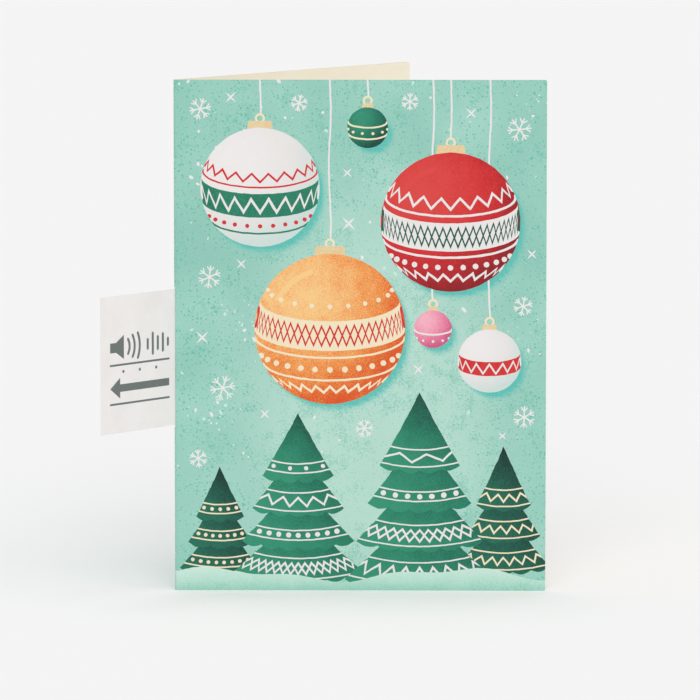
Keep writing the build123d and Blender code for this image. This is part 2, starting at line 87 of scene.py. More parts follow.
def add_node(tree, kind, inputs=(), **settings):
    """Adds a node to a tree. An input is a value, an output socket, or a node for its first output."""
    node = tree.nodes.new(kind)
    for name, value in settings.items():
        if name == "stops":
            ramp = node.color_ramp.elements
            while len(ramp) < len(value):
                ramp.new(1.0)
            for element, (position, tint) in zip(ramp, value):
                element.position = position
                element.color = linear(tint)
        else:
            setattr(node, name, value)
    for name, value in dict(inputs).items():
        if isinstance(value, bpy.types.Node):
            value = value.outputs[0]
        if isinstance(value, bpy.types.NodeSocket):
            tree.links.new(value, node.inputs[name])
        else:
            node.inputs[name].default_value = value
    return node


def new_material(name, constants):
    """A material with its shader's constants set: also its node tree, its shader and its coordinates."""
    material = bpy.data.materials.new(name)
    material.use_nodes = True
    tree = material.node_tree
    shader = tree.nodes["Principled BSDF"]
    for socket, value in constants.items():
        shader.inputs[socket].default_value = value
    return material, tree, shader, add_node(tree, "ShaderNodeTexCoord").outputs["Object"]


def paint(tree, shader, colour, place, feature, height):
    """Colours a surface and bumps it with grain of a real size and height, both in millimetres."""
    grain = add_node(tree, "ShaderNodeTexNoise", {
        "Vector": place, "Scale": 1 / (feature * MM), "Detail": 3.0, "Roughness": 0.6})
    bump = add_node(tree, "ShaderNodeBump", {"Height": grain, "Distance": height * MM, "Strength": 1.0})
    tree.links.new(colour, shader.inputs["Base Color"])
    tree.links.new(bump.outputs[0], shader.inputs["Normal"])


def clouded(name, light, dark, patch, grain, height, constants, stretch=(1.0, 1.0, 1.0)):
    """A finish in two near tints that drift over patches, with a raised grain. patch, grain and the grain's
    height are in millimetres, and stretch draws the grain out along an axis, as rolling or drawing does."""
    material, tree, shader, place = new_material(name, constants)
    cloud = add_node(tree, "ShaderNodeTexNoise", {
        "Vector": place, "Scale": 1 / (patch * MM), "Detail": 6.0, "Roughness": 0.65})
    tint = add_node(tree, "ShaderNodeValToRGB", {"Fac": cloud}, stops=((0.35, light), (0.7, dark)))
    drawn = add_node(tree, "ShaderNodeVectorMath", {0: place, 1: stretch}, operation="DIVIDE")
    paint(tree, shader, tint.outputs[0], drawn.outputs[0], grain, height)
    return material


SATIN_INK = {"Roughness": 0.5, "Specular IOR Level": 0.3}
PAPER_TOOTH, TOOTH_HEIGHT = 0.35, 0.004  # mm, the fibre clumps that show through ink and coating
INK_GRAIN, INK_PATCH = 0.42, 7  # mm, the spatter of a sponge and an airbrush, and the patches they leave


def ink(name, light, middle, dark, grain=0.5):
    """Satin offset ink, whose shade runs from the light tint at 0 to the dark one at 1, broken into grain."""
    material, tree, shader, place = new_material(name, SATIN_INK)
    level = add_node(tree, "ShaderNodeAttribute", attribute_name="shade").outputs["Fac"]
    for feature, detail, roughness, depth in (
        (INK_GRAIN, 2.0, 0.75, 2.4 * grain), (INK_PATCH, 3.0, 0.6, grain),
    ):
        texture = add_node(tree, "ShaderNodeTexNoise", {
            "Vector": place, "Scale": 1 / (feature * MM), "Detail": detail, "Roughness": roughness})
        drift = add_node(tree, "ShaderNodeMath", {
            0: texture, 1: depth, 2: -depth / 2}, operation="MULTIPLY_ADD")
        level = add_node(tree, "ShaderNodeMath", {0: level, 1: drift}, operation="ADD")
    tint = add_node(tree, "ShaderNodeValToRGB", {"Fac": level}, stops=(
        (0.0, light), (0.5, middle), (1.0, dark)))
    paint(tree, shader, tint.outputs[0], place, PAPER_TOOTH, TOOTH_HEIGHT)
    return material


def mint_ground_ink(middle_of_sheet, glow_reach):
    """The ground: mint sponged over with clusters of darker teal specks, and paler behind the design."""
    material, tree, shader, place = new_material("mint_ground_ink", SATIN_INK)
    shade, wear = [add_node(tree, "ShaderNodeAttribute", attribute_name=name).outputs["Fac"]
                   for name in ("shade", "wear")]
    wash, cluster, speck, blot = [add_node(tree, "ShaderNodeTexNoise", {
        "Vector": place, "Scale": 1 / (feature * MM), "Detail": detail, "Roughness": roughness})
        for feature, detail, roughness in (
            (26, 4.0, 0.55), (6.5, 4.0, 0.62), (0.6, 1.0, 0.6), (1.8, 2.0, 0.7))]
    base = add_node(tree, "ShaderNodeValToRGB", {"Fac": wash}, stops=(
        (0.32, "#8EC5B6"), (0.5, "#98CCBD"), (0.7, "#A5D4C6")))
    from_middle = add_node(tree, "ShaderNodeMapping", {
        "Vector": place, "Location": middle_of_sheet, "Scale": glow_reach}, vector_type="TEXTURE")
    reach = add_node(tree, "ShaderNodeVectorMath", {0: from_middle}, operation="LENGTH")
    glow = add_node(tree, "ShaderNodeMapRange", {
        "Value": reach.outputs["Value"], "From Min": 0.42, "From Max": 1.15, "To Min": 0.75, "To Max": 0.0},
        interpolation_type="SMOOTHSTEP")
    where = add_node(tree, "ShaderNodeMapRange", {
        "Value": cluster, "From Min": 0.44, "From Max": 0.72, "To Min": 0.0, "To Max": 0.26})
    dots, blots = [add_node(tree, "ShaderNodeMath", {0: texture, 1: where}, operation="ADD")
                   for texture in (speck, blot)]
    # The flicked drops are larger where the sponge was wet, and smaller in the glow
    drops = add_node(tree, "ShaderNodeTexVoronoi", {"Vector": place, "Scale": 1 / (1.5 * MM)})
    for amount, share in ((where, -0.5), (drops.outputs["Color"], 0.14), (glow, 0.14)):
        drops = add_node(tree, "ShaderNodeMath", {0: amount, 1: share, 2: drops}, operation="MULTIPLY_ADD")
    darker = 0.0
    for level, low, high, at_low, at_high in (
        (dots, 0.62, 0.74, 0.0, 0.45), (blots, 0.72, 0.86, 0.0, 0.5), (drops, 0.19, 0.29, 0.9, 0.0),
    ):
        stain = add_node(tree, "ShaderNodeMapRange", {
            "Value": level, "From Min": low, "From Max": high, "To Min": at_low, "To Max": at_high},
            interpolation_type="SMOOTHSTEP")
        darker = add_node(tree, "ShaderNodeMath", {0: darker, 1: stain}, operation="MAXIMUM")
    spray = add_node(tree, "ShaderNodeMath", {0: speck, 1: 1.3, 2: -0.65}, operation="MULTIPLY_ADD")
    sprayed = add_node(tree, "ShaderNodeMath", {0: shade, 1: spray}, operation="ADD", use_clamp=True)
    cast = add_node(tree, "ShaderNodeMath", {0: sprayed, 1: shade}, operation="MULTIPLY", use_clamp=True)
    cracked = add_node(tree, "ShaderNodeMath", {0: wear, 1: speck}, operation="GREATER_THAN")
    colour = base.outputs[0]
    for amount, tint in ((glow, "#BCDED1"), (darker, "#66B8A2"), (cast, "#58BDB2"), (cracked, "#E4E8E2")):
        colour = add_node(tree, "ShaderNodeMix", {
            "Factor": amount, 6: colour, 7: linear(tint)}, data_type="RGBA").outputs[2]
    paint(tree, shader, colour, place, PAPER_TOOTH, TOOTH_HEIGHT)
    return material


def new_piece(name, vertices, faces, finishes, picks, crease):
    """An object from its vertices and faces, smooth but for edges sharper than crease degrees."""
    mesh = bpy.data.meshes.new(name)
    mesh.from_pydata(vertices, [], faces)
    for material in finishes:
        mesh.materials.append(material)
    mesh.polygons.foreach_set("material_index", picks)
    mesh.shade_smooth()
    mesh.set_sharp_from_angle(angle=radians(crease))
    piece = bpy.data.objects.new(name, mesh)
    bpy.context.scene.collection.objects.link(piece)
    return piece


def sides(outline):
    """The two ends of each side of a closed outline."""
    return zip(outline, outline[1:] + outline[:1])


def printed_sheet(name, layers, leaf, face, plain, inner, core, spacing, bow=0.0, holes=()):
    """A closed sheet of board between the levels face and plain of a leaf. Each layer is an outline, its ink,
    its shade and, where it is cut off at another layer's edge, that layer's outline. The first is the blank.
    The face is cut along every ink's edge, later layers on top, and over a grid of points spacing apart."""
    number = {id(layer[0]): n for n, layer in enumerate(layers)}
    bearer = [number[id(layer[3])] if len(layer) > 3 else 0 for layer in layers]
    points, loops = [], []
    for outline in [layer[0] for layer in layers] + list(holes):
        way = 1 if sum(x0 * y1 - x1 * y0 for (x0, y0), (x1, y1) in sides(outline)) > 0 else -1
        loops.append(list(range(len(points), len(points) + len(outline))))
        points += outline[::way]
    low, high = [[pick(axis) for axis in zip(*layers[0][0])] for pick in (min, max)]
    columns, rows = [int((high[n] - low[n]) / spacing) for n in (0, 1)]
    points += [(low[0] + (n + 0.5) * spacing, low[1] + (m + 0.5) * spacing)
               for n in range(columns) for m in range(rows)]
    flat, _, triangles, _, _, owners = delaunay_2d_cdt([Vector(p) for p in points], [], loops, 1, 1e-4)
    kept = [(corners, max(n for n in owner if bearer[n] in owner))
            for corners, owner in zip(triangles, owners) if 0 in owner and max(owner) < len(layers)]
    used = sorted({corner for corners, _ in kept for corner in corners})
    new = {old: fresh for fresh, old in enumerate(used)}
    count, across = len(used), high[0] - low[0]
    lift = [bow * sin(pi * (flat[n].x - low[0]) / across) for n in used]
    vertices = [leaf @ Vector((*flat[n], level + rise))
                for level in (face, plain) for n, rise in zip(used, lift)]
    inks = list(dict.fromkeys(layer[1] for layer in layers))
    order = -1 if face < plain else 1
    faces, materials, shades, rim = [], [], [], {}
    for corners, top in kept:
        corners = [new[corner] for corner in corners]
        for start, end in sides(corners):
            if not rim.pop((end, start), False):
                rim[start, end] = True
        faces.append(corners[::order])
        material, shade = layers[top][1:3]
        materials.append(inks.index(material))
        spots = [flat[used[corner]] for corner in faces[-1]]
        shades += [shade(*spot) if callable(shade) else shade for spot in spots]
    for corners in faces[:]:
        faces.append([corner + count for corner in reversed(corners)])
        materials.append(len(inks) + 1)
        shades += [0.0] * 3
    for start, end in rim:
        faces.append([start, start + count, end + count, end][::order])
        materials.append(len(inks))
        shades += [0.0] * 4
    piece = new_piece(name, vertices, faces, inks + [core, inner], materials, 30)
    piece.data.attributes.new("shade", "FLOAT", "CORNER").data.foreach_set("value", shades)
    return piece


def oval(centre, across, tall=None, count=40):
    """An oval outline, or a round one."""
    tall = across if tall is None else tall
    turns = [2 * pi * n / count for n in range(count)]
    return [(centre[0] + across * cos(turn), centre[1] + tall * sin(turn)) for turn in turns]


def arc(centre, radius, start, end, parts=10):
    """Points along an arc between two angles in degrees."""
    turns = [radians(start + (end - start) * n / parts) for n in range(parts + 1)]
    return [(centre[0] + radius * cos(turn), centre[1] + radius * sin(turn)) for turn in turns]


WOBBLE = 1.8  # mm, the length of the small waves along a painted edge
noise.seed_set(5)  # the same waves on every run


def hand_cut(outline, reach=0.13, step=1.1):
    """The outline with its edges made a little uneven, as a brush leaves them."""
    uneven = []
    for (x0, y0), (x1, y1) in sides(outline):
        parts = max(1, round(hypot(x1 - x0, y1 - y0) / step))
        for n in range(parts):
            x, y = x0 + (x1 - x0) * n / parts, y0 + (y1 - y0) * n / parts
            drift = noise.noise_vector(Vector((x, y, 0)) / WOBBLE)
            uneven.append((x + reach * drift.x, y + reach * drift.y))
    return uneven


def stroke(points, width):
    """The outline of a printed line along a row of points, mitred where it turns."""
    line = [Vector(point) for point in points]
    ways = [(after - before).normalized() for before, after in zip(line, line[1:])]
    left, right = [], []
    for n, spot in enumerate(line):
        arrive, leave = ways[max(n - 1, 0)], ways[min(n, len(ways) - 1)]
        along = (arrive + leave).normalized()
        across = Vector((-along.y, along.x)) * width / 2 / max(0.55, along.dot(leave))
        left.append(spot + across)
        right.append(spot - across)
    tip, tail = line[-1] + ways[-1] * width / 2, line[0] - ways[0] * width / 2
    return [tuple(spot) for spot in [tail, *left, tip, *reversed(right)]]


def brush(points, width):
    """The outline of one brush stroke."""
    return hand_cut(stroke(points, width))


def trim(kind, place, low, high, count, width, material, within):
    """A row of traditional ornament between two heights, cut off at the outline it lies within. place(s, t)
    gives a point of the row, s from -1 to 1."""
    steps = [2 * n / count - 1 for n in range(count + 1)]
    middle = (low + high) / 2
    if kind == "line":
        outlines = [brush([place(s, middle) for s in steps], width)]
    elif kind == "belt":
        outlines = [hand_cut([place(s, low) for s in steps] + [place(s, high) for s in reversed(steps)])]
    elif kind == "zigzag":
        outlines = [brush([place(s, high if n % 2 else low) for n, s in enumerate(steps)], width)]
    elif kind == "lattice":
        outlines = [brush([place(s, (low, high)[(n + start) % 2]) for n, s in enumerate(steps)], width)
                    for start in (0, 1)]
    else:
        outlines = [hand_cut(oval(place(s, middle), width / 2, count=14)) for s in steps]
    return [(outline, material, 0.35, within) for outline in outlines]


BALL_TILT = radians(17)  # the baubles are drawn as seen from a little above


def bauble(centre, radius, material, rows, string_top):
    """A round bauble on its string: cap and ring, the ball with its rows of ornament, and a shine."""
    def place(s, latitude):
        turn = s * acos(max(-1.0, min(1.0, -tan(latitude) * tan(BALL_TILT))))
        x = cos(latitude) * sin(turn)
        y = sin(latitude) * cos(BALL_TILT) - cos(latitude) * cos(turn) * sin(BALL_TILT)
        return (centre[0] + radius * x, centre[1] + radius * y)

    def shade(x, y):
        lit = (centre[0] - 0.38 * radius, centre[1] + 0.42 * radius)
        return min(1.0, hypot(x - lit[0], y - lit[1]) / (1.45 * radius)) ** 1.6

    cap_low = centre[1] + radius * 0.93
    cap_w, cap_h = 0.2 * radius + 0.5, 0.14 * radius + 0.9
    ring = (centre[0], cap_low + cap_h + 0.9)
    cap = [(centre[0] - cap_w, cap_low), (centre[0] + cap_w, cap_low),
           (centre[0] + 0.86 * cap_w, cap_low + cap_h), (centre[0] - 0.86 * cap_w, cap_low + cap_h)]
    string = [(ring[0] + 0.35 * sin(0.16 * y), y) for y in range(int(ring[1] + 2), int(string_top), 6)]
    ball = hand_cut(oval(centre, radius, count=int(40 + 2 * radius)))
    marks = [
        (brush([(ring[0], ring[1] + 1), *string, (ring[0], string_top)], 0.62), white_ink, 0.3),
        (oval(ring, 1.75, count=20), cream_ink, 0.4),
        (oval(ring, 1.0, count=16), mint_ground, cast_on_ground),
        (hand_cut(cap), cream_ink, 0.75),
        (ball, material, shade),
        (brush(arc(centre, 0.8 * radius, 108, 150, 6), 0.06 * radius + 0.3), material, -0.6),
    ]
    for kind, low, high, count, width, tint in rows:
        reach = {"dots": 0.84, "zigzag": 0.93, "lattice": 0.9}.get(kind, 1.0)
        marks += trim(kind, lambda s, t: place(reach * s, t), low, high, count, width, tint, ball)
    return marks


def fir(foot, width, height, tiers, material, rows):
    """A fir in overlapping scalloped tiers, each with a row of ornament along its hem."""
    trunk = [(foot[0] + side * width, foot[1] + up * height)
             for side, up in ((-0.06, 0), (0.06, 0), (0.05, 0.2), (-0.05, 0.2))]
    marks = [(hand_cut(trunk), orange_ink, 0.95)]
    tier_h = height / (1 + 0.52 * (tiers - 1)) * 0.93
    for tier in range(tiers):
        half = width / 2 * (1 - 0.62 * tier / tiers)
        hem = foot[1] + 0.1 * height + 0.52 * tier_h * tier
        sag = 0.13 * half

        def place(s, t):
            narrow = 1 - max(0.0, t) / tier_h
            return (foot[0] + s * half * narrow, hem + t - sag * narrow * (1 - s * s))

        def shade(x, y, half=half, hem=hem):
            return 0.12 + 0.85 * max(0.0, (y - hem) / tier_h) ** 1.2 + 0.3 * (x - foot[0]) / half

        scallops = max(3, round(half / 3.4))
        fringe = []
        for n in range(6 * scallops + 1):
            s = 2 * n / (6 * scallops) - 1
            x, y = place(s, 0)
            fringe.append((x, y - 1.1 * abs(sin(pi * n / 6))))

        def flank(side, n):
            x, y = place(side, tier_h * n / 12)
            return (foot[0] + (x - foot[0]) * (0.9 + 0.1 * abs(x - foot[0]) / half), y)

        right, left = [flank(1, n) for n in range(1, 12)], [flank(-1, n) for n in range(11, 0, -1)]
        outline = hand_cut(fringe + right + [place(0, tier_h)] + left, 0.22)
        marks.append((outline, material, shade))
        kind, low, high, count, thick, tint = rows[tier % len(rows)]
        steps = max(3, round(count * half / (width / 2)))
        reach = 0.84 if kind == "dots" else 1.06
        marks += trim("line", place, low - 1.5, low - 1.5, 14, 0.5, tint, outline)
        marks += trim(kind, lambda s, t: place(reach * s, t), low, high, steps, thick, tint, outline)
        marks += trim("line", place, high + 1.5, high + 1.5, 14, 0.5, tint, outline)
    return marks


def turned(centre, x, y, way):
    """The point x, y away from a centre, turned about it by an angle."""
    return (centre[0] + x * cos(way) - y * sin(way), centre[1] + x * sin(way) + y * cos(way))


def crystal(centre, reach, turn):
    """A six-armed snow crystal with a chevron on each arm."""
    marks = []
    for arm in range(6):
        for width, points in (
            (0.5, ((0.0, 0.0), (1.0, 0.0))), (0.42, ((0.92, 0.3), (0.58, 0.0), (0.92, -0.3))),
        ):
            line = [turned(centre, x * reach, y * reach, turn + arm * pi / 3) for x, y in points]
            marks.append((brush(line, width), white_ink, 0.2))
    return marks


def sparkle(centre, reach, turn):
    """A four-pointed twinkle with drawn-in sides."""
    outline = []
    for n in range(16):
        part = abs((n % 4) - 2) / 2
        out = reach * (0.13 + 0.87 * part ** 2.2)
        outline.append(turned(centre, out, 0, turn + n * pi / 8 + pi / 4))
    return [(hand_cut(outline, 0.08), white_ink, 0.2)]


FLECK_LEAST, FLECK_MORE = 0.17, 0.42  # mm, half the width of the finest flecks, and what the largest add


def spatter(seed, count, low, high, cluster):
    """Flicked paint, white and pale mint: loose specks and a few tight clusters of them."""
    draw = random.Random(seed)
    nests = [(draw.uniform(low[0], high[0]), draw.uniform(low[1], high[1])) for _ in range(cluster)]
    marks = []
    for n in range(count):
        if n % 3 and nests:
            nest = nests[n % len(nests)]
            spot = (draw.gauss(nest[0], 5.0), draw.gauss(nest[1], 4.0))
        else:
            spot = (draw.uniform(low[0], high[0]), draw.uniform(low[1], high[1]))
        size = FLECK_LEAST + FLECK_MORE * draw.random() ** 2.2
        long, lean = size * draw.uniform(0.8, 2.1), draw.uniform(0, pi)
        fleck = [turned(spot, x, y, lean) for x, y in oval((0, 0), long, size, count=7)]
        marks.append((fleck, pale_mint_ink if n % 4 == 1 else white_ink, 0.2))
    return marks


cover_low, cover_high = leaf_box("front_cover", front_leaf)
cover_w, cover_h = cover_high.x, cover_high.y
CORNER_R = 0.6  # mm, where the guillotine's corner has worn
tag_low, tag_high = leaf_box("test_tag", back_leaf)
SLOT_GAP = 0.8  # mm, the room above and below the tag in the fold's slot
slot_low, slot_high = tag_low.y - SLOT_GAP, tag_high.y + SLOT_GAP


def cover_blank():
    """A cover's outline, square at the fold and a touch round at the fore edge."""
    x = cover_w - CORNER_R
    fore = arc((x, CORNER_R), CORNER_R, -90, 0, 4) + arc((x, cover_h - CORNER_R), CORNER_R, 0, 90, 4)
    return [(cover_low.x, 0.0), *fore, (cover_low.x, cover_h)]


# The printed inks: each starts from the tint it gives on white board, with sponge grain where it is darker
GLOW_REACH = (0.052, 1.0, 0.085)  # metres along each axis
glow_middle = front_leaf @ Vector((cover_w / 2 + 4, 0.37 * cover_h, 0))
mint_ground = mint_ground_ink(glow_middle, GLOW_REACH)
white_ink = ink("snow_white_ink", "#ECE8E7", "#E4E1DF", "#C9DAD5", 0.25)
red_ink = ink("warm_red_ink", "#DA4440", "#CC2428", "#86101A", 0.45)
orange_ink = ink("burnt_orange_ink", "#F6C988", "#EE9448", "#D9501C", 0.8)
cream_ink = ink("cream_ink", "#F3EBD2", "#EEDDB8", "#D9B77C", 0.35)
green_ink = ink("fir_green_ink", "#2F8F70", "#177259", "#083D32", 0.55)
deep_green_ink = ink("deep_green_ink", "#1B6B55", "#0B4A3C", "#04261F", 0.5)
pale_mint_ink = ink("pale_mint_ink", "#CDE9DD", "#B9DFD0", "#8CC8B6", 0.4)
pink_ink = ink("rose_pink_ink", "#F3B1C0", "#E681A0", "#C9557C", 0.4)
paper_core = clouded("board_core", "#F4F3EF", "#EDEBE5", 12, 0.2, 0.01, {"Roughness": 0.9})
inside_paper = clouded("uncoated_cream_board", "#FAF3E1", "#F8EFDA", 18, 0.3, 0.008, {"Roughness": 0.85})

# Each bauble's middle and radius
WHITE_BALL, RED_BALL, ORANGE_BALL = ((29.0, 140.0), 20.5), ((94.5, 128.0), 24.0), ((53.0, 91.0), 26.0)
SMALL_WHITE, PINK_BALL, GREEN_BALL = ((108.0, 80.0), 11.0), ((88.5, 91.0), 6.5), ((66.0, 160.5), 7.0)
BALLS = (WHITE_BALL, RED_BALL, ORANGE_BALL, SMALL_WHITE, PINK_BALL, GREEN_BALL)
DROP = (1.9, -2.3)  # mm, how far right and down the printed shadows fall
DROP_FADE = 2.6  # mm, the width of their soft edge


def cast_on_ground(x, y):
    """The printed shadow of the baubles at a point of the ground, sprayed softer towards its edge."""
    deepest = 0.0
    for (ball_x, ball_y), radius in BALLS:
        past = hypot(x - ball_x - DROP[0], y - ball_y - DROP[1]) - radius
        part = min(1.0, max(0.0, (DROP_FADE / 2 - past) / DROP_FADE))
        deepest = max(deepest, part * part * (3 - 2 * part))
    return deepest


sky_top = cover_h + 3
front_print = []
for spot, reach, turn in (
    ((8.5, 167.0), 3.6, 0.2), ((80.5, 169.5), 2.8, 0.5), ((118.0, 160.0), 4.0, 0.1),
    ((11.5, 109.0), 3.8, 0.4), ((119.5, 99.0), 3.2, 0.3), ((16.0, 70.5), 4.2, 0.2),
    ((120.0, 60.5), 3.6, 0.5), ((65.0, 56.5), 3.0, 0.1), ((7.5, 46.0), 3.0, 0.6), ((42.5, 169.0), 2.8, 0.3),
):
    front_print += crystal(spot, reach, turn)
for spot, reach in (
    ((19.0, 171.0), 2.6), ((59.5, 127.5), 3.2), ((101.5, 165.5), 2.6), ((122.5, 117.0), 2.4),
    ((22.5, 113.5), 2.4), ((83.5, 77.0), 2.6), ((9.0, 88.0), 3.0), ((30.5, 61.5), 2.4),
    ((112.5, 54.0), 2.0), ((59.0, 145.0), 2.2),
):
    front_print += sparkle(spot, reach, 0.0)
front_print += spatter(11, 300, (0, 8), (cover_w, cover_h), 10)

front_print += fir((15.0, 4.0), 28.0, 38.0, 3, deep_green_ink, [("dots", 3.3, 3.3, 7, 1.3, cream_ink)])
front_print += fir((113.0, 4.0), 32.0, 45.0, 3, deep_green_ink, [("zigzag", 2.2, 4.6, 14, 0.6, cream_ink)])
front_print += fir((42.0, 0.0), 46.0, 60.0, 4, green_ink, [
    ("lattice", 2.2, 5.6, 16, 0.7, white_ink), ("dots", 3.9, 3.9, 10, 1.8, white_ink),
    ("zigzag", 2.4, 5.2, 14, 0.7, white_ink), ("dots", 3.8, 3.8, 6, 1.5, white_ink)])
front_print += fir((84.0, -3.0), 52.0, 70.0, 4, green_ink, [
    ("zigzag", 2.8, 6.4, 18, 0.8, white_ink), ("lattice", 2.4, 6.0, 14, 0.7, white_ink),
    ("dots", 4.2, 4.2, 9, 1.9, white_ink), ("zigzag", 2.6, 5.2, 10, 0.7, white_ink)])

front_print += bauble(*PINK_BALL, pink_ink, [
    ("line", 0.0, 0.0, 12, 0.6, white_ink), ("dots", -0.42, -0.42, 4, 0.9, white_ink)], sky_top)
front_print += bauble(*SMALL_WHITE, white_ink, [
    ("belt", -0.2, 0.26, 16, 0.0, red_ink), ("zigzag", -0.12, 0.18, 14, 0.6, white_ink)], sky_top)
front_print += bauble(*GREEN_BALL, green_ink, [
    ("line", 0.3, 0.3, 12, 0.6, cream_ink), ("line", -0.3, -0.3, 12, 0.6, cream_ink),
    ("dots", 0.0, 0.0, 5, 1.0, cream_ink)], sky_top)
front_print += bauble(*ORANGE_BALL, orange_ink, [
    ("belt", 0.0, 0.4, 34, 0.0, cream_ink), ("lattice", 0.07, 0.33, 26, 0.8, red_ink),
    ("line", -0.1, -0.1, 26, 0.7, cream_ink), ("dots", -0.28, -0.28, 12, 2.0, cream_ink),
    ("line", -0.46, -0.46, 26, 0.7, cream_ink), ("zigzag", -0.72, -0.58, 22, 0.8, cream_ink),
    ("dots", 0.6, 0.6, 10, 1.6, cream_ink)], sky_top)
front_print += bauble(*WHITE_BALL, white_ink, [
    ("belt", -0.24, 0.18, 30, 0.0, green_ink), ("zigzag", -0.15, 0.09, 20, 0.9, white_ink),
    ("zigzag", 0.38, 0.52, 20, 0.7, red_ink), ("line", 0.29, 0.29, 24, 0.6, red_ink),
    ("dots", -0.42, -0.42, 10, 1.5, red_ink), ("line", -0.6, -0.6, 20, 0.6, green_ink)], sky_top)
front_print += bauble(*RED_BALL, red_ink, [
    ("belt", -0.14, 0.28, 34, 0.0, white_ink), ("lattice", -0.07, 0.21, 26, 0.8, deep_green_ink),
    ("line", 0.38, 0.38, 26, 0.8, white_ink), ("zigzag", 0.48, 0.64, 20, 0.8, white_ink),
    ("line", -0.24, -0.24, 26, 0.8, white_ink), ("dots", -0.42, -0.42, 12, 1.9, white_ink),
    ("zigzag", -0.72, -0.56, 20, 0.8, white_ink)], sky_top)


def snow_top(x):
    """The height of the bank of snow along the foot."""
    return 5.5 + 1.9 * sin(0.075 * x + 0.6) + 0.9 * sin(0.19 * x)


def snow_shade(x, y):
    """Snow, deeper in colour towards the bottom edge."""
    return 0.9 - 0.11 * y


bank = [(x, snow_top(x)) for x in range(132, -4, -3)]
front_print.append((hand_cut([(132, -3), *bank, (-3, -3)]), pale_mint_ink, snow_shade))

# The slot takes only the back half of the bend: the front half stays on this leaf as a rounded lip
LIP = (0.0, -0.1, -0.19, -0.26, -0.31, -0.34)  # mm past the fold line
FRONT_SPACING, FRONT_BOW = 1.6, -0.2  # mm, the bow being inwards
slot_edge = [(cover_low.x, slot_high), (LIP[-1], slot_high), (LIP[-1], slot_low), (cover_low.x, slot_low)]
front_layers = [(cover_blank() + slot_edge, mint_ground, cast_on_ground)]
for right, left in zip(LIP, LIP[1:]):
    strip = [(left, slot_low), (right, slot_low), (right, slot_high), (left, slot_high)]
    front_layers.append((strip, mint_ground, 0.0))
front = printed_sheet("front_cover_print", front_layers + front_print, front_leaf, cover_high.z,
                      cover_low.z, inside_paper, paper_core, FRONT_SPACING, bow=FRONT_BOW)
to_front = front_leaf.inverted()
for vertex in front.data.vertices:
    spot = to_front @ vertex.co
    if spot.x < 0 and spot.z > cover_high.z / 2:
        spot.z = (cover_high.z ** 2 - spot.x ** 2) ** 0.5
        vertex.co = front_leaf @ spot
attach(front, "front_cover")
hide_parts("front_cover")

# Back cover
# The other half of the blank, which the works are stuck to. The printed ground runs on over it, nearly plain,
# with a few crystals and three little firs at the foot.

BACK_SPACING = 3.0
back_low, back_high = leaf_box("back_cover", back_leaf)
small_row = [("dots", 1.2, 1.2, 4, 0.6, cream_ink)]
back_print = spatter(29, 150, (0, 4), (cover_w, cover_h), 6)
for spot, reach in (((22, 150), 3.2), ((98, 163), 2.6), ((108, 88), 3.4), ((30, 64), 2.8), ((66, 120), 2.4)):
    back_print += crystal(spot, reach, 0.3)
for spot, reach in (((60, 160), 2.6), ((16, 108), 2.4), ((92, 128), 2.8), ((112, 40), 2.4), ((48, 92), 2.2)):
    back_print += sparkle(spot, reach, 0.0)
for x, width, height in ((54.5, 8.0, 11.5), (73.5, 8.0, 12.5), (64.0, 10.5, 17.0)):
    back_print += fir((x, 11.0), width, height, 3, green_ink, small_row)
back = printed_sheet(
    "back_cover_print", [(cover_blank(), mint_ground, 0.0)] + back_print, back_leaf,
    back_low.z, back_high.z, inside_paper, paper_core, BACK_SPACING)
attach(back, "back_leaf")
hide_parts("back_cover")

# Spine fold
# The scored and folded strip of the same blank, in two lengths above and below the slot for the tag. The
# bend has cracked the ink in places, so that the board's white core shows.

SPINE_STEP = 2.3  # mm, the height of the strip's rows
BEND_PARTS = 10
FOLD_BULGE = 0.02  # mm
CRACK, CRACK_FALL = 0.42, 0.14  # how worn the ink is on the bend's crest, and how fast that falls off


def bend_line(start, end, bulge):
    """Points of the fold's section between the two leaves, bowed out from the card."""
    chord = end - start
    out = Vector((chord.y, -chord.x)).normalized()
    into_card = (front_leaf.col[0] + back_leaf.col[0]).to_2d()
    if out.dot(into_card) > 0:
        out.negate()
    away = (start + end) / 2 + 2 * bulge * out
    steps = [n / BEND_PARTS for n in range(BEND_PARTS + 1)]
    return [(1 - t) ** 2 * start + 2 * t * (1 - t) * away + t * t * end for t in steps]


def folded_strip(name, outer, inner, low, high, finishes):
    """A closed strip whose section lies between two bent lines, drawn up the leaf between two heights."""
    ring = outer + inner[::-1]
    side, parts = len(ring), len(outer) - 1
    rows = max(1, round((high - low) / SPINE_STEP))
    vertices = [(*spot, (low + (high - low) * row / rows) * MM) for row in range(rows + 1) for spot in ring]
    faces, picks = [], []
    for row in range(rows):
        for n in range(side):
            after, base = (n + 1) % side, row * side
            faces.append([base + n, base + after, base + side + after, base + side + n])
            picks.append(0 if n < parts else 2 if parts < n < side - 1 else 1)
    for row in (0, rows):
        for n in range(parts):
            corners = [n, n + 1, side - 2 - n, side - 1 - n]
            faces.append([row * side + corner for corner in (corners if row else corners[::-1])])
            picks.append(1)
    piece = new_piece(name, vertices, faces, finishes, picks, 50)
    shell = bmesh.new()
    shell.from_mesh(piece.data)
    bmesh.ops.recalc_face_normals(shell, faces=shell.faces)
    shell.to_mesh(piece.data)
    shell.free()
    return piece


def section_point(leaf, along, level):
    """A point of a leaf's section, seen from above, in the row frame."""
    return (leaf @ Vector((along, 0, level))).to_2d()


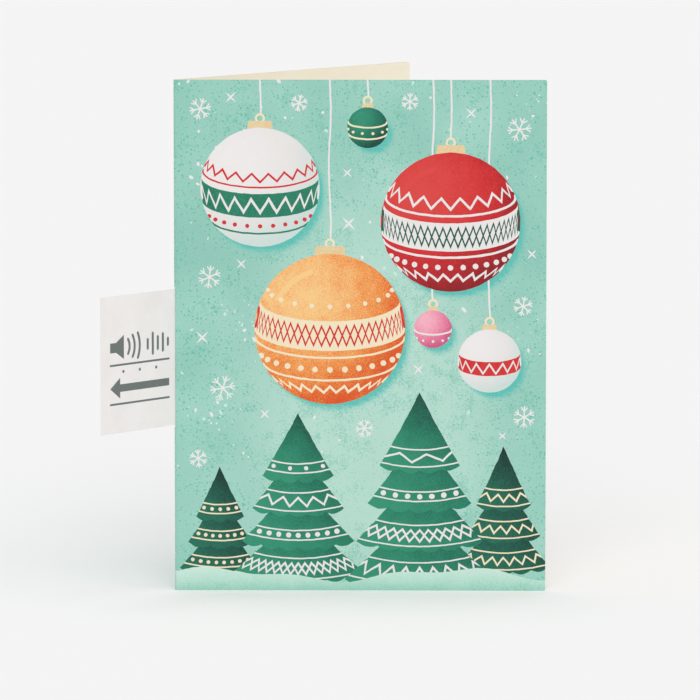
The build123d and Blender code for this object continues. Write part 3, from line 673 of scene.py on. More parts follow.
inner_bend = bend_line(section_point(back_leaf, cover_low.x, back_high.z),
                       section_point(front_leaf, cover_low.x, cover_low.z), FOLD_BULGE * MM)
outer_bend = bend_line(section_point(back_leaf, cover_low.x, back_low.z),
                       section_point(front_leaf, cover_low.x, cover_high.z), (FOLD_BULGE + cover_high.z) * MM)
crest = [max(0.0, CRACK - CRACK_FALL * abs(n - BEND_PARTS / 2)) for n in range(BEND_PARTS + 1)]
crest += [0.0] * (BEND_PARTS + 1)
for name, low, high in (("spine_fold_lower", 0.0, slot_low), ("spine_fold_upper", slot_high, cover_h)):
    finishes = (mint_ground, paper_core, inside_paper, pale_mint_ink)
    spine = folded_strip(name, outer_bend, inner_bend, low, high, finishes)
    wear = crest * (len(spine.data.vertices) // len(crest))
    spine.data.attributes.new("wear", "FLOAT", "POINT").data.foreach_set("value", wear)
    if low == 0.0:
        depth = [max(0.0, snow_shade(0, vertex.co.z / MM)) for vertex in spine.data.vertices]
        spine.data.attributes.new("shade", "FLOAT", "POINT").data.foreach_set("value", depth)
        for n, face in enumerate(spine.data.polygons):
            printed = face.material_index == 0 and n % len(crest) >= BEND_PARTS / 2
            if printed and face.center.z / MM < snow_top(cover_low.x):
                face.material_index = finishes.index(pale_mint_ink)
    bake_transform(spine)
    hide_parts("spine_fold")

# Foam frame and pads
# White closed-cell foam, die cut from sheet and held by its own adhesive. The frame keeps the page clear of
# the works, the squares carry the board, the strip holds the cells down and the ring seals the cone's rim.


def dress(nodes, material, edge=0.0):
    """Gives CAD nodes their finish, and takes their sharp edges off by a width in millimetres."""
    for node in nodes:
        solid = frame["nodes"][node]
        solid.data.materials.clear()
        solid.data.materials.append(material)
        if edge:
            solid.modifiers.new("joined", "WELD").merge_threshold = 1e-6
            rounding = solid.modifiers.new("rounded", "BEVEL")
            rounding.width = edge * MM
            rounding.segments = 2
            rounding.limit_method = "ANGLE"
            rounding.angle_limit = radians(40)
            rounding.harden_normals = True


# Cut polyethylene foam: chalk white and dull, its opened cells showing as fine pits
foam = clouded("cut_polyethylene_foam", "#F2F1ED", "#E4E2DC", 8, 0.4, 0.06, {
    "Roughness": 0.92, "Specular IOR Level": 0.2})
dress(("spacer_frame", "board_pads", "cell_pad", "rim_seal"), foam)

# Circuit board
# Glass-fibre laminate under green solder mask. The copper traces show through the mask as a paler green, the
# pads are tinned, and white outlines are printed round the places of the parts.

# Solder mask: a glossy green lacquer, over bare laminate and over copper
bare_mask = clouded("green_solder_mask", "#1C6442", "#17583A", 5, 0.25, 0.002, {
    "Roughness": 0.32, "Coat Weight": 0.4, "Coat Roughness": 0.12})
copper_mask = clouded("green_mask_over_copper", "#3A9362", "#318556", 5, 0.25, 0.002, {
    "Roughness": 0.3, "Coat Weight": 0.4, "Coat Roughness": 0.12})
# Tin from a solder wave: bright silver, softly rippled
tinned = clouded("wave_soldered_tin", "#CDCFD0", "#B7BABC", 1.5, 0.6, 0.02, {
    "Metallic": 1.0, "Roughness": 0.24})
# Screen-printed legend ink: dull white
legend = clouded("white_legend_ink", "#EEEFEA", "#E2E4DD", 2, 0.2, 0.004, {"Roughness": 0.6})
# Sawn laminate edge: straw-green glass cloth ends, dull
laminate = clouded("sawn_glass_laminate", "#B3B878", "#9AA064", 1.2, 0.15, 0.02, {"Roughness": 0.85})

board_low, board_high = leaf_box("circuit_board", back_leaf)
solder_low, solder_high = leaf_box("solder_joints", back_leaf)
wire_u = (solder_low.x + solder_high.x) / 2
wire_pads = [(wire_u, z) for z in (solder_high.y - 0.9, solder_high.y - 4.5, solder_low.y + 0.9)]
chip, lead, capacitor, transistor = [
    sum(leaf_box(node, back_leaf), Vector()) / 2
    for node in ("chip_blob", "positive_lead", "chip_capacitor", "transistor")]
chip_ring_r = leaf_box("chip_blob", back_leaf)[1].x - chip.x + 0.5
lead_pad = (lead.x, board_low.y + 2.1)
tag_contact = (board_low.x + 2.4, (tag_low.y + tag_high.y) / 2)
strap_low, strap_high = leaf_box("switch_tongue", back_leaf)
strap_z = (strap_low.y + strap_high.y) / 2
switch_contact = (board_low.x + 2.4, strap_z)
row_low, row_high = leaf_box("chip_resistors", back_leaf)
resistor_u = (row_low.x + row_high.x) / 2
resistor_z = [row_low.y + 0.4 + 2.0 * n for n in range(3)]

TRACE_W, LEGEND_W = 0.45, 0.18  # mm
BOARD_SPACING = 3.0


def bent_trace(start, end, jog):
    """A trace that leaves the chip straight, turns by 45 degrees and runs along the board to a pad."""
    side = 1 if end[1] > start[1] else -1
    run = jog - start[0]
    turn_back = min(abs(jog - end[0]), abs(end[1] - start[1]) / 3)
    return [start, (start[0] + run * 0.3, start[1] + side * 0.4),
            (jog, start[1] + side * (0.4 + abs(run) * 0.7)), (jog, end[1] - side * turn_back), end]


def box_outline(middle, wide, tall):
    """A rectangle round a point."""
    x, y = wide / 2, tall / 2
    return [(middle[0] + a * x, middle[1] + b * y) for a, b in ((-1, -1), (1, -1), (1, 1), (-1, 1))]


routes = [bent_trace((chip.x + x, chip.y + y), end, chip.x + jog) for x, y, end, jog in (
    (2.5, 1.2, wire_pads[0], 7.6), (1.8, 2.6, wire_pads[1], 3.2), (2.5, -1.2, wire_pads[2], 5.2),
    (-0.8, -2.8, lead_pad, -0.6), (-2.6, -1.4, tag_contact, -5.4), (-2.6, 1.0, switch_contact, -7.4),
    (-2.2, 2.2, (resistor_u + 0.7, resistor_z[0]), -3.6),
    (-0.6, 3.0, (transistor.x - 1.0, transistor.y - 0.8), -1.8))]
routes += [
    [(transistor.x + 0.9, transistor.y), (transistor.x + 2.2, transistor.y + 1.2),
     (wire_u - 1.6, wire_pads[1][1])],
    [(resistor_u + 0.7, resistor_z[2]), (capacitor.x - 0.9, capacitor.y)],
    [(resistor_u + 0.7, resistor_z[1]), (transistor.x - 1.2, transistor.y + 0.4)]]
copper = [box_outline((board_high.x - 2.0, chip.y - 3.0), 2.6, 24.0)]
copper += [stroke(route, TRACE_W) for route in routes]
pads = [oval(pad, 1.35, count=24) for pad in wire_pads] + [box_outline(lead_pad, 3.8, 3.0)]
pads += [oval(spot, 0.75, count=20) for spot in (tag_contact, switch_contact)]
pads += [oval((tag_contact[0] + 0.4, z), 0.5, count=16)
         for z in (board_low.y + 4.0, board_low.y + 6.5, board_high.y - 2.0, board_high.y - 4.5)]
pads += [box_outline((spot[0] + step, spot[1]), 0.8, 1.1)
         for spot in [(resistor_u, z) for z in resistor_z] + [capacitor.xy] for step in (-0.95, 0.95)]
pads += [box_outline((transistor.x + x, transistor.y + y), 0.7, 0.9)
         for x, y in ((-0.95, -1.1), (0.95, -1.1), (0.0, 1.1))]
frames = [box_outline(transistor, 3.7, 3.4), box_outline((resistor_u, resistor_z[1]), 3.4, 5.9),
          box_outline(capacitor, 3.5, 1.9)]
marks = [stroke(side, LEGEND_W) for outline in frames for side in sides(outline)]
marks += [stroke(side, 0.2) for side in sides(oval(chip, chip_ring_r, count=48))]
board_print = [(outline, finish, 0.0) for outlines, finish in (
    (copper, copper_mask), (pads, tinned), (marks, legend)) for outline in outlines]
board_size = board_high - board_low
board_blank = box_outline((board_low + board_high) / 2, board_size.x, board_size.y)
board = printed_sheet("circuit_board_traced", [(board_blank, bare_mask, 0.0)] + board_print, back_leaf,
                      board_high.z, board_low.z, bare_mask, laminate, BOARD_SPACING)
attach(board, "back_leaf")
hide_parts("circuit_board")

# Contacts
# Two phosphor bronze springs under the board, each over a patch of copper foil on the back cover. The tag and
# the switch tongue keep them apart.

# Rolled phosphor bronze: warm yellow metal with fine lines along the strip
bronze = clouded("rolled_phosphor_bronze", "#D0A263", "#BE8D50", 2, 0.1, 0.004, {
    "Metallic": 1.0, "Roughness": 0.28}, (1.0, 1.0, 12.0))
# Copper foil: soft salmon metal, a little crumpled where it was rubbed down
foil = clouded("rubbed_copper_foil", "#E39A74", "#CF8159", 3, 1.1, 0.03, {"Metallic": 1.0, "Roughness": 0.36})
dress(("tag_contact_spring", "switch_contact_spring"), bronze)
dress(("tag_contact_foil", "switch_contact_foil"), foil)

# Chip and small parts
# The sound chip is bonded straight to the board under a drop of black resin. Beside it three resistors, a
# capacitor and a transistor are soldered flat, and three blobs of solder hold the wires.

# Cured epoxy: black, glossy, with the slow waves of a drop that set as it spread
resin = clouded("cured_black_epoxy", "#161617", "#0F0F10", 2, 1.6, 0.06, {
    "Roughness": 0.3, "Coat Weight": 0.3})
dress(("chip_blob",), resin)
dress(("solder_joints",), tinned)
# Moulded package: dark grey filled epoxy with a spark-eroded texture
package = clouded("moulded_package", "#2B2B2D", "#222224", 1, 0.08, 0.008, {"Roughness": 0.6})
# Fired ceramics: white alumina under the resistors, tan for the capacitor
alumina = clouded("white_alumina", "#ECEAE4", "#DEDBD3", 1, 0.1, 0.004, {"Roughness": 0.55})
tan_ceramic = clouded("tan_fired_ceramic", "#A98862", "#987750", 1, 0.1, 0.004, {"Roughness": 0.5})
resistor_glass = clouded("black_resistor_glass", "#1D1D20", "#151517", 1, 0.2, 0.003, {"Roughness": 0.2})


def square_parts(name, blocks, finishes, edge):
    """Small square-cut parts of the back leaf. Each block is its low and high corner and its finish."""
    vertices, faces, picks = [], [], []
    for low, high, pick in blocks:
        first = len(vertices)
        vertices += [back_leaf @ Vector((x, y, z)) for z in (low[2], high[2]) for y in (low[1], high[1])
                     for x in (low[0], high[0])]
        faces += [[first + corner for corner in side] for side in (
            (0, 2, 3, 1), (4, 5, 7, 6), (0, 1, 5, 4), (2, 6, 7, 3), (0, 4, 6, 2), (1, 3, 7, 5))]
        picks += [pick] * 6
    piece = new_piece(name, vertices, faces, finishes, picks, 30)
    rounding = piece.modifiers.new("rounded", "BEVEL")
    rounding.width = edge * MM
    rounding.segments = 2
    return piece


def block(middle, size, low, high, pick):
    """A block round a point of the board, between two heights over it."""
    corners = [(middle[0] + side * size[0] / 2, middle[1] + side * size[1] / 2, board_high.z + level)
               for side, level in ((-1, low), (1, high))]
    return (*corners, pick)


def soldered_chip(middle, long, wide, thick):
    """A chip part: its body between two tin ends. Finish 0 is the body, 1 the ends, 2 the top."""
    end = 0.16 * long
    ends = [block((middle[0] + side * (long - end) / 2, middle[1]), (end, wide), 0, thick, 1)
            for side in (-1, 1)]
    return ends + [block(middle, (long - 1.9 * end, wide - 0.06), 0.02, thick - 0.05, 0),
                   block(middle, (long - 2.1 * end, wide - 0.14), thick - 0.06, thick - 0.01, 2)]


resistor_blocks = [part for z in resistor_z for part in soldered_chip((resistor_u, z), 1.6, 0.8, 0.5)]
resistors = square_parts("chip_resistors_soldered", resistor_blocks,
                         (alumina, tinned, resistor_glass), 0.03)
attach(resistors, "back_leaf")
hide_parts("chip_resistors")
capacitor_chip = square_parts("chip_capacitor_soldered", soldered_chip(capacitor, 2.0, 1.25, 0.9),
                              (tan_ceramic, tinned, tan_ceramic), 0.05)
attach(capacitor_chip, "back_leaf")
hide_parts("chip_capacitor")
legs = [((-0.95, -1.0), -1), ((0.95, -1.0), -1), ((0.0, 1.0), 1)]
transistor_blocks = [block(transistor, (2.9, 1.3), 0.08, 1.0, 0)]
for (x, y), side in legs:
    foot = (transistor.x + x, transistor.y + y + side * 0.1)
    transistor_blocks.append(block(foot, (0.4, 0.5), 0.0, 0.12, 1))
    transistor_blocks.append(block((foot[0], foot[1] - side * 0.25), (0.4, 0.14), 0.0, 0.5, 1))
gate = square_parts("transistor_soldered", transistor_blocks, (package, tinned), 0.06)
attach(gate, "back_leaf")
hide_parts("transistor")

# Button cells and tray
# Three alkaline button cells stand head to tail in a shallow moulded tray. Nickel strips, spot-welded in
# series, join them, and a strip and a tailed plate carry the current to the board and the wire.

# Moulded polystyrene: clean white, satin, with a faint spark-eroded texture
styrene = clouded("moulded_white_polystyrene", "#F0F0EC", "#E8E8E3", 15, 0.3, 0.01, {"Roughness": 0.45})
# Drawn stainless can: silver with fine lines left by the drawing die
can_steel = clouded("drawn_stainless_can", "#D2D2D0", "#C2C2C0", 4, 0.12, 0.003, {
    "Metallic": 1.0, "Roughness": 0.22}, (1.0, 1.0, 3.0))
# Nylon gasket: near-black ring with a dull moulded skin
nylon = clouded("moulded_nylon", "#2A2A2D", "#1F1F22", 1, 0.15, 0.006, {"Roughness": 0.5})
# Rolled nickel strip: warm grey metal with rolling lines
nickel = clouded("rolled_nickel_strip", "#CFCBC1", "#BCB8AE", 3, 0.1, 0.004, {
    "Metallic": 1.0, "Roughness": 0.3}, (1.0, 1.0, 8.0))
dress(("cell_tray",), styrene, 0.12)
dress(("cell_cans", "cell_caps"), can_steel, 0.16)
dress(("cell_gaskets",), nylon)
dress(("cell_links", "positive_lead", "negative_plate"), nickel)

# Loudspeaker
# A flat film loudspeaker: a zinc-plated yoke holds a nickel-plated magnet and its pole plate, and a pressed
# basket carries the cone, which is one clear film pressed into a ribbed roll round a dome. It is taped down.


def grow(piece, name, sizes, finish, build):
    """Runs a Geometry Nodes tree on a piece and keeps the result as a plain mesh. build adds the tree's own
    nodes between the named sizes and the last two nodes."""
    kinds = {float: "NodeSocketFloat", int: "NodeSocketInt", tuple: "NodeSocketVector",
             bpy.types.Material: "NodeSocketMaterial"}
    values = {**sizes, "Finish": finish}
    tree = bpy.data.node_groups.new(name, "GeometryNodeTree")
    tree.interface.new_socket("Geometry", in_out="INPUT", socket_type="NodeSocketGeometry")
    sockets = {label: tree.interface.new_socket(label, in_out="INPUT", socket_type=kinds[type(value)])
               for label, value in values.items()}
    tree.interface.new_socket("Geometry", in_out="OUTPUT", socket_type="NodeSocketGeometry")
    given = add_node(tree, "NodeGroupInput").outputs
    whole = add_node(tree, "GeometryNodeRealizeInstances", {"Geometry": build(tree, given)})
    finished = add_node(tree, "GeometryNodeSetMaterial", {"Geometry": whole, "Material": given["Finish"]})
    add_node(tree, "NodeGroupOutput", {"Geometry": finished})
    modifier = piece.modifiers.new(name, "NODES")
    modifier.node_group = tree
    for label, value in values.items():
        modifier[sockets[label].identifier] = value
    bpy.context.view_layer.update()
    shown = piece.evaluated_get(bpy.context.evaluated_depsgraph_get())
    piece.data = bpy.data.meshes.new_from_object(shown)
    piece.modifiers.clear()


# Zinc plate: blue-grey metal, a little blotchy from its passivation
zinc = clouded("zinc_plated_steel", "#C4C9CD", "#AEB4BA", 5, 0.3, 0.006, {"Metallic": 1.0, "Roughness": 0.34})
# Nickel plate on sintered neodymium: bright, slightly yellow
bright_nickel = clouded("nickel_plated_magnet", "#D6D2C8", "#C8C4BA", 4, 0.5, 0.003, {
    "Metallic": 1.0, "Roughness": 0.14})
# Double-sided tissue tape: thin off-white glue film with tissue fibres in it
glue_tape = clouded("double_sided_tissue_tape", "#ECE9DD", "#DDD9C9", 2.5, 0.8, 0.012, {"Roughness": 0.4})
# Phenolic paper board: amber brown, satin
phenolic = clouded("phenolic_paper_board", "#A9713F", "#93602F", 2, 0.4, 0.006, {"Roughness": 0.4})
# Clear polyester film: thin and smooth, a milky haze that shows what lies behind it, and bright reflections
clear_film = clouded("clear_polyester_film", "#F6F8F8", "#EDF1F2", 6, 5.0, 0.004, {
    "Roughness": 0.15, "Alpha": 0.26, "IOR": 1.5})
# The same film pressed into a cone: its stretched, ribbed skin is cloudier, so the coil only glows through
pressed_film = clouded("pressed_polyester_film", "#E9EEF0", "#DCE3E6", 5, 3.0, 0.006, {
    "Roughness": 0.12, "Alpha": 0.44, "IOR": 1.5})
# Enamelled copper: red-brown lacquer over bright wire
enamel = clouded("enamelled_copper", "#B9603A", "#A54F2C", 1.5, 0.1, 0.003, {
    "Metallic": 0.85, "Roughness": 0.25})

dress(("speaker_seat", "edge_tapes"), glue_tape)
dress(("speaker_yoke", "speaker_basket"), zinc, 0.12)
dress(("speaker_magnet", "pole_plate"), bright_nickel, 0.08)
dress(("terminal_board",), phenolic)
dress(("cone_dome",), pressed_film)

cone_low, cone_high = leaf_box("cone_surround", back_leaf)
speaker = (cone_low + cone_high) / 2
coil_low, coil_high = leaf_box("voice_coil", back_leaf)
cone_r, coil_r = (cone_high.x - cone_low.x) / 2, (coil_high.x - coil_low.x) / 2
FILM_T = 0.12
CONE_RINGS, CONE_TURNS = 44, 216
DOME_FOOT = 0.22  # mm, the dome's foot and a hair of room, outside the coil


def lifted(tree, given, rise):
    """The given mesh with each point moved up by its own rise."""
    offset = add_node(tree, "ShaderNodeCombineXYZ", {"Z": rise})
    return add_node(tree, "GeometryNodeSetPosition", {"Geometry": given["Geometry"], "Offset": offset})


def ribbed_roll(tree, given):
    """Lifts a flat ring into one round roll, with slanting ribs pressed across it."""
    place = add_node(tree, "GeometryNodeInputPosition")
    parts = add_node(tree, "ShaderNodeSeparateXYZ", {0: place}).outputs
    flat = add_node(tree, "ShaderNodeCombineXYZ", {"X": parts["X"], "Y": parts["Y"]})
    radius = add_node(tree, "ShaderNodeVectorMath", {0: flat}, operation="LENGTH")
    across = add_node(tree, "ShaderNodeMapRange", {
        "Value": radius.outputs["Value"], "From Min": given["Roll start"], "From Max": given["Roll end"]})
    wave = add_node(tree, "ShaderNodeMath", {0: across, 1: pi}, operation="MULTIPLY")
    arch = add_node(tree, "ShaderNodeMath", {0: wave}, operation="SINE")
    lift = add_node(tree, "ShaderNodeMath", {0: arch, 1: given["Roll height"]}, operation="MULTIPLY")
    turn = add_node(tree, "ShaderNodeMath", {0: parts["Y"], 1: parts["X"]}, operation="ARCTAN2")
    slant = add_node(tree, "ShaderNodeMath", {
        0: across, 1: given["Rib slant"], 2: turn}, operation="MULTIPLY_ADD")
    around = add_node(tree, "ShaderNodeMath", {0: slant, 1: given["Ribs"]}, operation="MULTIPLY")
    rib = add_node(tree, "ShaderNodeMath", {0: around}, operation="SINE")
    pressed = add_node(tree, "ShaderNodeMath", {0: rib, 1: arch}, operation="MULTIPLY")
    rise = add_node(tree, "ShaderNodeMath", {
        0: pressed, 1: given["Rib height"], 2: lift}, operation="MULTIPLY_ADD")
    return lifted(tree, given, rise)


def film_ring(name, inner, outer, low, high):
    """A flat closed ring of film about the loudspeaker's axis, in millimetres."""
    steps = [(inner + (outer - inner) * n / CONE_RINGS, high) for n in range(CONE_RINGS + 1)]
    section = steps + [(radius, low) for radius, _ in reversed(steps)]
    side = len(section)
    turns = [2 * pi * n / CONE_TURNS for n in range(CONE_TURNS)]
    vertices = [(radius * cos(turn), radius * sin(turn), level)
                for turn in turns for radius, level in section]
    faces = []
    for n in range(CONE_TURNS):
        here, there = n * side, (n + 1) % CONE_TURNS * side
        faces += [[here + (m + 1) % side, there + (m + 1) % side, there + m, here + m] for m in range(side)]
    return new_piece(name, vertices, faces, (), [0] * len(faces), 30)


hole = coil_r + DOME_FOOT
surround = film_ring("cone_surround_ribbed", hole, cone_r, cone_low.z, cone_low.z + FILM_T)
grow(surround, "ribbed_roll", {
    "Roll start": hole + 2.3, "Roll end": cone_r - 1.6, "Roll height": 0.4,
    "Ribs": 36, "Rib slant": 0.5, "Rib height": 0.1}, pressed_film, ribbed_roll)
surround.data.transform(back_leaf @ Matrix.Translation((speaker.x, speaker.y, 0)))
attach(surround, "back_leaf")
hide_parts("cone_surround")


def two_layer_winding(tree, given):
    """Enamelled wire wound side by side on a former, in two layers."""
    wire = add_node(tree, "GeometryNodeCurvePrimitiveCircle", {
        "Resolution": 8, "Radius": given["Wire radius"]})
    layers = add_node(tree, "GeometryNodeJoinGeometry")
    for layer in (1.0, 3.0):
        radius = add_node(tree, "ShaderNodeMath", {
            0: given["Wire radius"], 1: layer, 2: given["Former radius"]}, operation="MULTIPLY_ADD")
        helix = add_node(tree, "GeometryNodeCurveSpiral", {
            "Resolution": 48, "Rotations": given["Turns"], "Start Radius": radius, "End Radius": radius,
            "Height": given["Height"]})
        wound = add_node(tree, "GeometryNodeCurveToMesh", {
            "Curve": helix, "Profile Curve": wire, "Fill Caps": True})
        tree.links.new(wound.outputs[0], layers.inputs[0])
    return add_node(tree, "GeometryNodeSetShadeSmooth", {"Geometry": layers})


WIRE_R = 0.09
winding_h = coil_high.z - coil_low.z - 2 * WIRE_R
coil = new_piece("voice_coil_wound", [], [], (), [], 30)
grow(coil, "two_layer_winding", {
    "Wire radius": WIRE_R, "Former radius": coil_r - 0.4, "Height": winding_h,
    "Turns": winding_h / (2.04 * WIRE_R)}, enamel, two_layer_winding)
coil.data.transform(back_leaf @ Matrix.Translation((speaker.x, speaker.y, coil_low.z + WIRE_R)))
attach(coil, "cone")
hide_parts("voice_coil")

# Wires
# Three short lengths of stranded wire in PVC, soldered at both ends and pressed into the gaps of the frame.

# Extruded PVC: smooth and satin, red for one loudspeaker lead and black for the others
red_pvc = clouded("red_extruded_pvc", "#C22F28", "#B02620", 4, 0.5, 0.004, {"Roughness": 0.35})
black_pvc = clouded("black_extruded_pvc", "#2A2A2B", "#202021", 4, 0.5, 0.004, {"Roughness": 0.35})
dress(("speaker_wire_red",), red_pvc)
dress(("speaker_wire_black", "battery_wire"), black_pvc)

# Switch tongue and pull strap
# A stiff clear tongue runs through a small moulded bridge and keeps the switch contact apart. A thin ribbon
# of the same film is glued to it, comes out of the page's slit, turns inside the fold and is glued down.

dress(("switch_guide",), styrene, 0.15)
dress(("switch_tongue", "strap_anchor"), clear_film)

RIBBON_T = 0.1
RIBBON_LEVEL = -0.37  # the ribbon's underside, just over the tongue
SLIT_U, ANCHOR_U = 4.1, 4.2  # where it leaves the page and where it meets the front cover
RIBBON_LAP = 1.4
UNDER_PAGE = (12.0, 9.0, 7.0, 5.6)  # the flat part under the page, from its glued end
RISE_U, RISE = 4.8, 0.12
LOOP_U, LOOP_PARTS = 0.9, 16  # how near the fold the loop is drawn


def ribbon_line(offset):
    """One face of the ribbon, seen from above: along under the page, out of the slit, round to the cover."""
    under = RIBBON_LEVEL + offset
    flat = [section_point(back_leaf, u, under) for u in UNDER_PAGE]
    start = section_point(back_leaf, SLIT_U, offset - 0.06)
    rise = section_point(back_leaf, RISE_U, under + RISE)
    end = section_point(front_leaf, ANCHOR_U, -0.15 - offset)
    lap = section_point(front_leaf, ANCHOR_U + RIBBON_LAP, -0.14 - offset)
    turn = [section_point(back_leaf, LOOP_U, offset), section_point(front_leaf, LOOP_U, -offset)]
    loop = []
    for n in range(LOOP_PARTS + 1):
        t = n / LOOP_PARTS
        middle = (1 - t) * turn[0] + t * turn[1]
        loop.append((1 - t) ** 3 * start + 3 * t * (1 - t) * middle + t ** 3 * end)
    return [*flat, rise, *loop, lap]


strap = folded_strip("pull_strap_ribbon", ribbon_line(0.0), ribbon_line(RIBBON_T),
                     strap_low.y, strap_high.y, (clear_film, clear_film, clear_film))
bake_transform(strap)
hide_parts("pull_strap")

# Page
# A sheet of uncoated cream board glued over the works by its edges. It was pressed into a shallow raised
# panel that rests on the foam frame, with a short slit near the fold for the strap.

page_low, page_high = leaf_box("liner_page", back_leaf)
foam_low, foam_high = leaf_box("spacer_frame", back_leaf)
PAGE_T = 0.25
PAGE_TRIM = 0.1  # the page is trimmed this far inside the cover
PAGE_SPACING = 1.6
PANEL_MARGIN, PANEL_R, PANEL_SLOPE = 0.75, 5.75, 10.0


def raised_panel(tree, given):
    """Lifts a flat page inside a rounded rectangle, with one soft slope all round it."""
    place = add_node(tree, "GeometryNodeInputPosition")
    away = add_node(tree, "ShaderNodeVectorMath", {0: place, 1: given["Middle"]}, operation="SUBTRACT")
    flat = add_node(tree, "ShaderNodeVectorMath", {0: away, 1: (1.0, 1.0, 0.0)}, operation="MULTIPLY")
    folded = add_node(tree, "ShaderNodeVectorMath", {0: flat}, operation="ABSOLUTE")
    past = add_node(tree, "ShaderNodeVectorMath", {
        0: folded, 1: given["Half size inside corners"]}, operation="SUBTRACT")
    outside = add_node(tree, "ShaderNodeVectorMath", {0: past, 1: (0, 0, 0)}, operation="MAXIMUM")
    length = add_node(tree, "ShaderNodeVectorMath", {0: outside}, operation="LENGTH")
    reach = add_node(tree, "ShaderNodeMath", {
        0: length.outputs["Value"], 1: given["Corner radius"]}, operation="SUBTRACT")
    rise = add_node(tree, "ShaderNodeMapRange", {
        "Value": reach, "From Min": 0.0, "From Max": given["Slope width"],
        "To Min": given["Panel height"], "To Max": 0.0}, interpolation_type="SMOOTHSTEP")
    return lifted(tree, given, rise)


slit = box_outline((SLIT_U, strap_z), 1.6, strap_high.y - strap_low.y + 0.8)
page_blank = [(page_low.x, PAGE_TRIM), (cover_w - PAGE_TRIM, PAGE_TRIM),
              (cover_w - PAGE_TRIM, cover_h - PAGE_TRIM), (page_low.x, cover_h - PAGE_TRIM)]
page = printed_sheet("inside_page", [(page_blank, inside_paper, 0.0)], Matrix.Identity(4), 0.0, -PAGE_T,
                     inside_paper, inside_paper, PAGE_SPACING, holes=[slit])
panel = (foam_low + foam_high) / 2
half_wide, half_tall = [(high - low) / 2 + PANEL_MARGIN - PANEL_R
                        for low, high in zip(foam_low.xy, foam_high.xy)]
grow(page, "raised_panel", {
    "Middle": (panel.x, panel.y, 0.0), "Half size inside corners": (half_wide, half_tall, 0.0),
    "Corner radius": PANEL_R, "Slope width": PANEL_SLOPE, "Panel height": page_high.z},
    inside_paper, raised_panel)
page.data.transform(back_leaf)
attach(page, "back_leaf")
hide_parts("liner_page")

# Test tag
# A stiff white card tab that keeps the battery contact apart until it is pulled out. It is printed in grey
# with plain signs for sound and for pulling, thin rules and three dots.

tag_board = clouded("tag_board", "#F7F2F1", "#F1EBEA", 12, 0.3, 0.006, {"Roughness": 0.75})
grey_ink = ink("grey_tag_ink", "#7A807E", "#6C7371", "#5B6260", 0.2)
TAG_R = 0.3
TAG_INSIDE, TAG_SHOULDER = 12.0, 10.0  # mm past the fold where it starts to narrow, and over what length
TONGUE_W = 10.0
TAG_SPACING = 2.0


def tag_blank():
    """The tag's outline: its outer corners are round, and inside the card it narrows to a tongue."""
    middle = (tag_low.y + tag_high.y) / 2
    x = tag_low.x + TAG_R
    lower = arc((x, tag_low.y + TAG_R), TAG_R, 180, 270, 5)
    upper = arc((x, tag_high.y - TAG_R), TAG_R, 90, 180, 5)
    shoulder = TAG_INSIDE + TAG_SHOULDER
    return [*lower, (TAG_INSIDE, tag_low.y), (shoulder, middle - TONGUE_W / 2),
            (tag_high.x, middle - TONGUE_W / 2), (tag_high.x, middle + TONGUE_W / 2),
            (shoulder, middle + TONGUE_W / 2), (TAG_INSIDE, tag_high.y), *upper]


SIGN_W = 30.2
WAVE_W, BAR_W, RULE_W, DOT_R = 1.05, 1.1, 0.7, 0.55  # mm
DOT_STEP = 8.4
sign_left = tag_low.x + 4.7
sign_mid, sign_right = sign_left + SIGN_W / 2, sign_left + SIGN_W
sound_y, dots_y, pull_y = tag_low.y + 29.4, tag_low.y + 21.0, tag_low.y + 15.4
horn = sign_left + 7.0  # where the sign's loudspeaker ends
tag_print = [[(sign_left, sound_y - 1.7), (sign_left + 3, sound_y - 1.7), (horn, sound_y - 4.2),
              (horn, sound_y + 4.2), (sign_left + 3, sound_y + 1.7), (sign_left, sound_y + 1.7)]]
tag_print += [stroke(arc((horn - 1.5, sound_y), radius, -half, half), WAVE_W)
              for radius, half in ((4.4, 36), (7.0, 33), (9.6, 27))]
bars = [(sign_left + 19.2 + 2.6 * n, tall) for n, tall in enumerate((1.6, 3.6, 2.2, 3.0, 1.2))]
tag_print += [stroke([(x, sound_y - tall), (x, sound_y + tall)], BAR_W) for x, tall in bars]
tag_print += [stroke([(sign_left, y), (sign_right, y)], RULE_W) for y in (sound_y - 6.0, pull_y - 5.4)]
tag_print += [oval((sign_mid + step, dots_y), DOT_R, count=16) for step in (-DOT_STEP, 0, DOT_STEP)]
tag_print.append([(sign_left, pull_y), (sign_left + 5, pull_y - 3.6), (sign_left + 5, pull_y - 1.3),
                  (sign_right, pull_y - 1.3), (sign_right, pull_y + 1.3), (sign_left + 5, pull_y + 1.3),
                  (sign_left + 5, pull_y + 3.6)])
tag_print = [(outline, grey_ink, 0.4) for outline in tag_print]
tag = printed_sheet(
    "test_tag_card", [(tag_blank(), tag_board, 0.0)] + tag_print, back_leaf,
    tag_high.z, tag_low.z, tag_board, paper_core, TAG_SPACING)
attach(tag, "test_tag")
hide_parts("test_tag")

# Floor
# A pale matt sweep that runs on past the view, so that its tone is the background too.

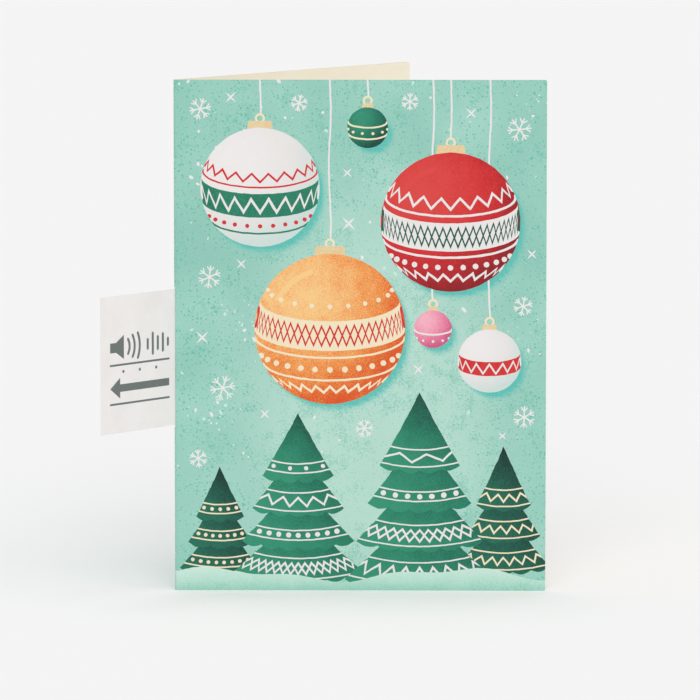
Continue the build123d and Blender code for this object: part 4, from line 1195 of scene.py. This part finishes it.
FLOOR_HALF, FLOOR_LEVEL = 9.0, -0.00002  # metres
floor_mesh = bpy.data.meshes.new("floor")
floor_mesh.from_pydata([(x * FLOOR_HALF, y * FLOOR_HALF, FLOOR_LEVEL) for x, y in (
    (-1, -1), (1, -1), (1, 1), (-1, 1))], [], [(0, 1, 2, 3)])
floor = bpy.data.objects.new("floor", floor_mesh)
bpy.context.scene.collection.objects.link(floor)
BACKGROUND = linear("#F6F6F6")
sweep, *_ = new_material("pale_sweep", {
    "Base Color": BACKGROUND, "Roughness": 0.9, "Specular IOR Level": 0.0})
floor_mesh.materials.append(sweep)

# Light
# Plain soft studio light: an even pale room, a lamp over the camera, a weak broad one to its right and one
# straight overhead, which keeps the floor beside the card light.

AMBIENT = 0.56
world = bpy.data.worlds.new("studio")
bpy.context.scene.world = world
world.use_nodes = True
tree = world.node_tree
room = tree.nodes["Background"]
room.inputs["Color"].default_value = (1, 1, 1, 1)
room.inputs["Strength"].default_value = AMBIENT
seen = add_node(tree, "ShaderNodeBackground", {"Color": BACKGROUND, "Strength": 1.0})
path = add_node(tree, "ShaderNodeLightPath").outputs
any_seen = path["Is Camera Ray"]
for ray in ("Is Glossy Ray", "Is Transmission Ray"):
    any_seen = add_node(tree, "ShaderNodeMath", {0: any_seen, 1: path[ray]}, operation="MAXIMUM")
choice = add_node(tree, "ShaderNodeMixShader", {0: any_seen, 1: room, 2: seen})
tree.links.new(choice.outputs[0], tree.nodes["World Output"].inputs["Surface"])
for name, towards, strength, spread in (
    ("front_lamp", (0.0, -0.8, 0.6), 0.96, 40), ("side_lamp", (0.72, -0.42, 0.56), 0.25, 80),
    ("top_lamp", (0.0, 0.05, 1.0), 0.62, 40),
):
    lamp = bpy.data.lights.new(name, "SUN")
    lamp.energy = strength
    lamp.angle = radians(spread)
    holder = bpy.data.objects.new(name, lamp)
    holder.rotation_mode = "QUATERNION"
    holder.rotation_quaternion = Vector(towards).to_track_quat("Z", "Y")
    bpy.context.scene.collection.objects.link(holder)

# Camera
# A long lens nearly two metres back, a little above the card and turned slightly to the left.

PITCH, YAW = 6.498, 0.727  # degrees down and to the left
EYE = (84.37, -1926.7, 303.2)  # mm from the foot of the fold
camera = bpy.data.objects.new("camera", bpy.data.cameras.new("camera"))
camera.data.lens = 289.3
camera.data.sensor_width = 36.0
camera.location = fold_foot + Vector(EYE) * MM
camera.rotation_euler = (radians(90 - PITCH), 0, radians(YAW))
bpy.context.scene.collection.objects.link(camera)
bpy.context.scene.camera = camera
bpy.context.scene.view_settings.view_transform = "Standard"
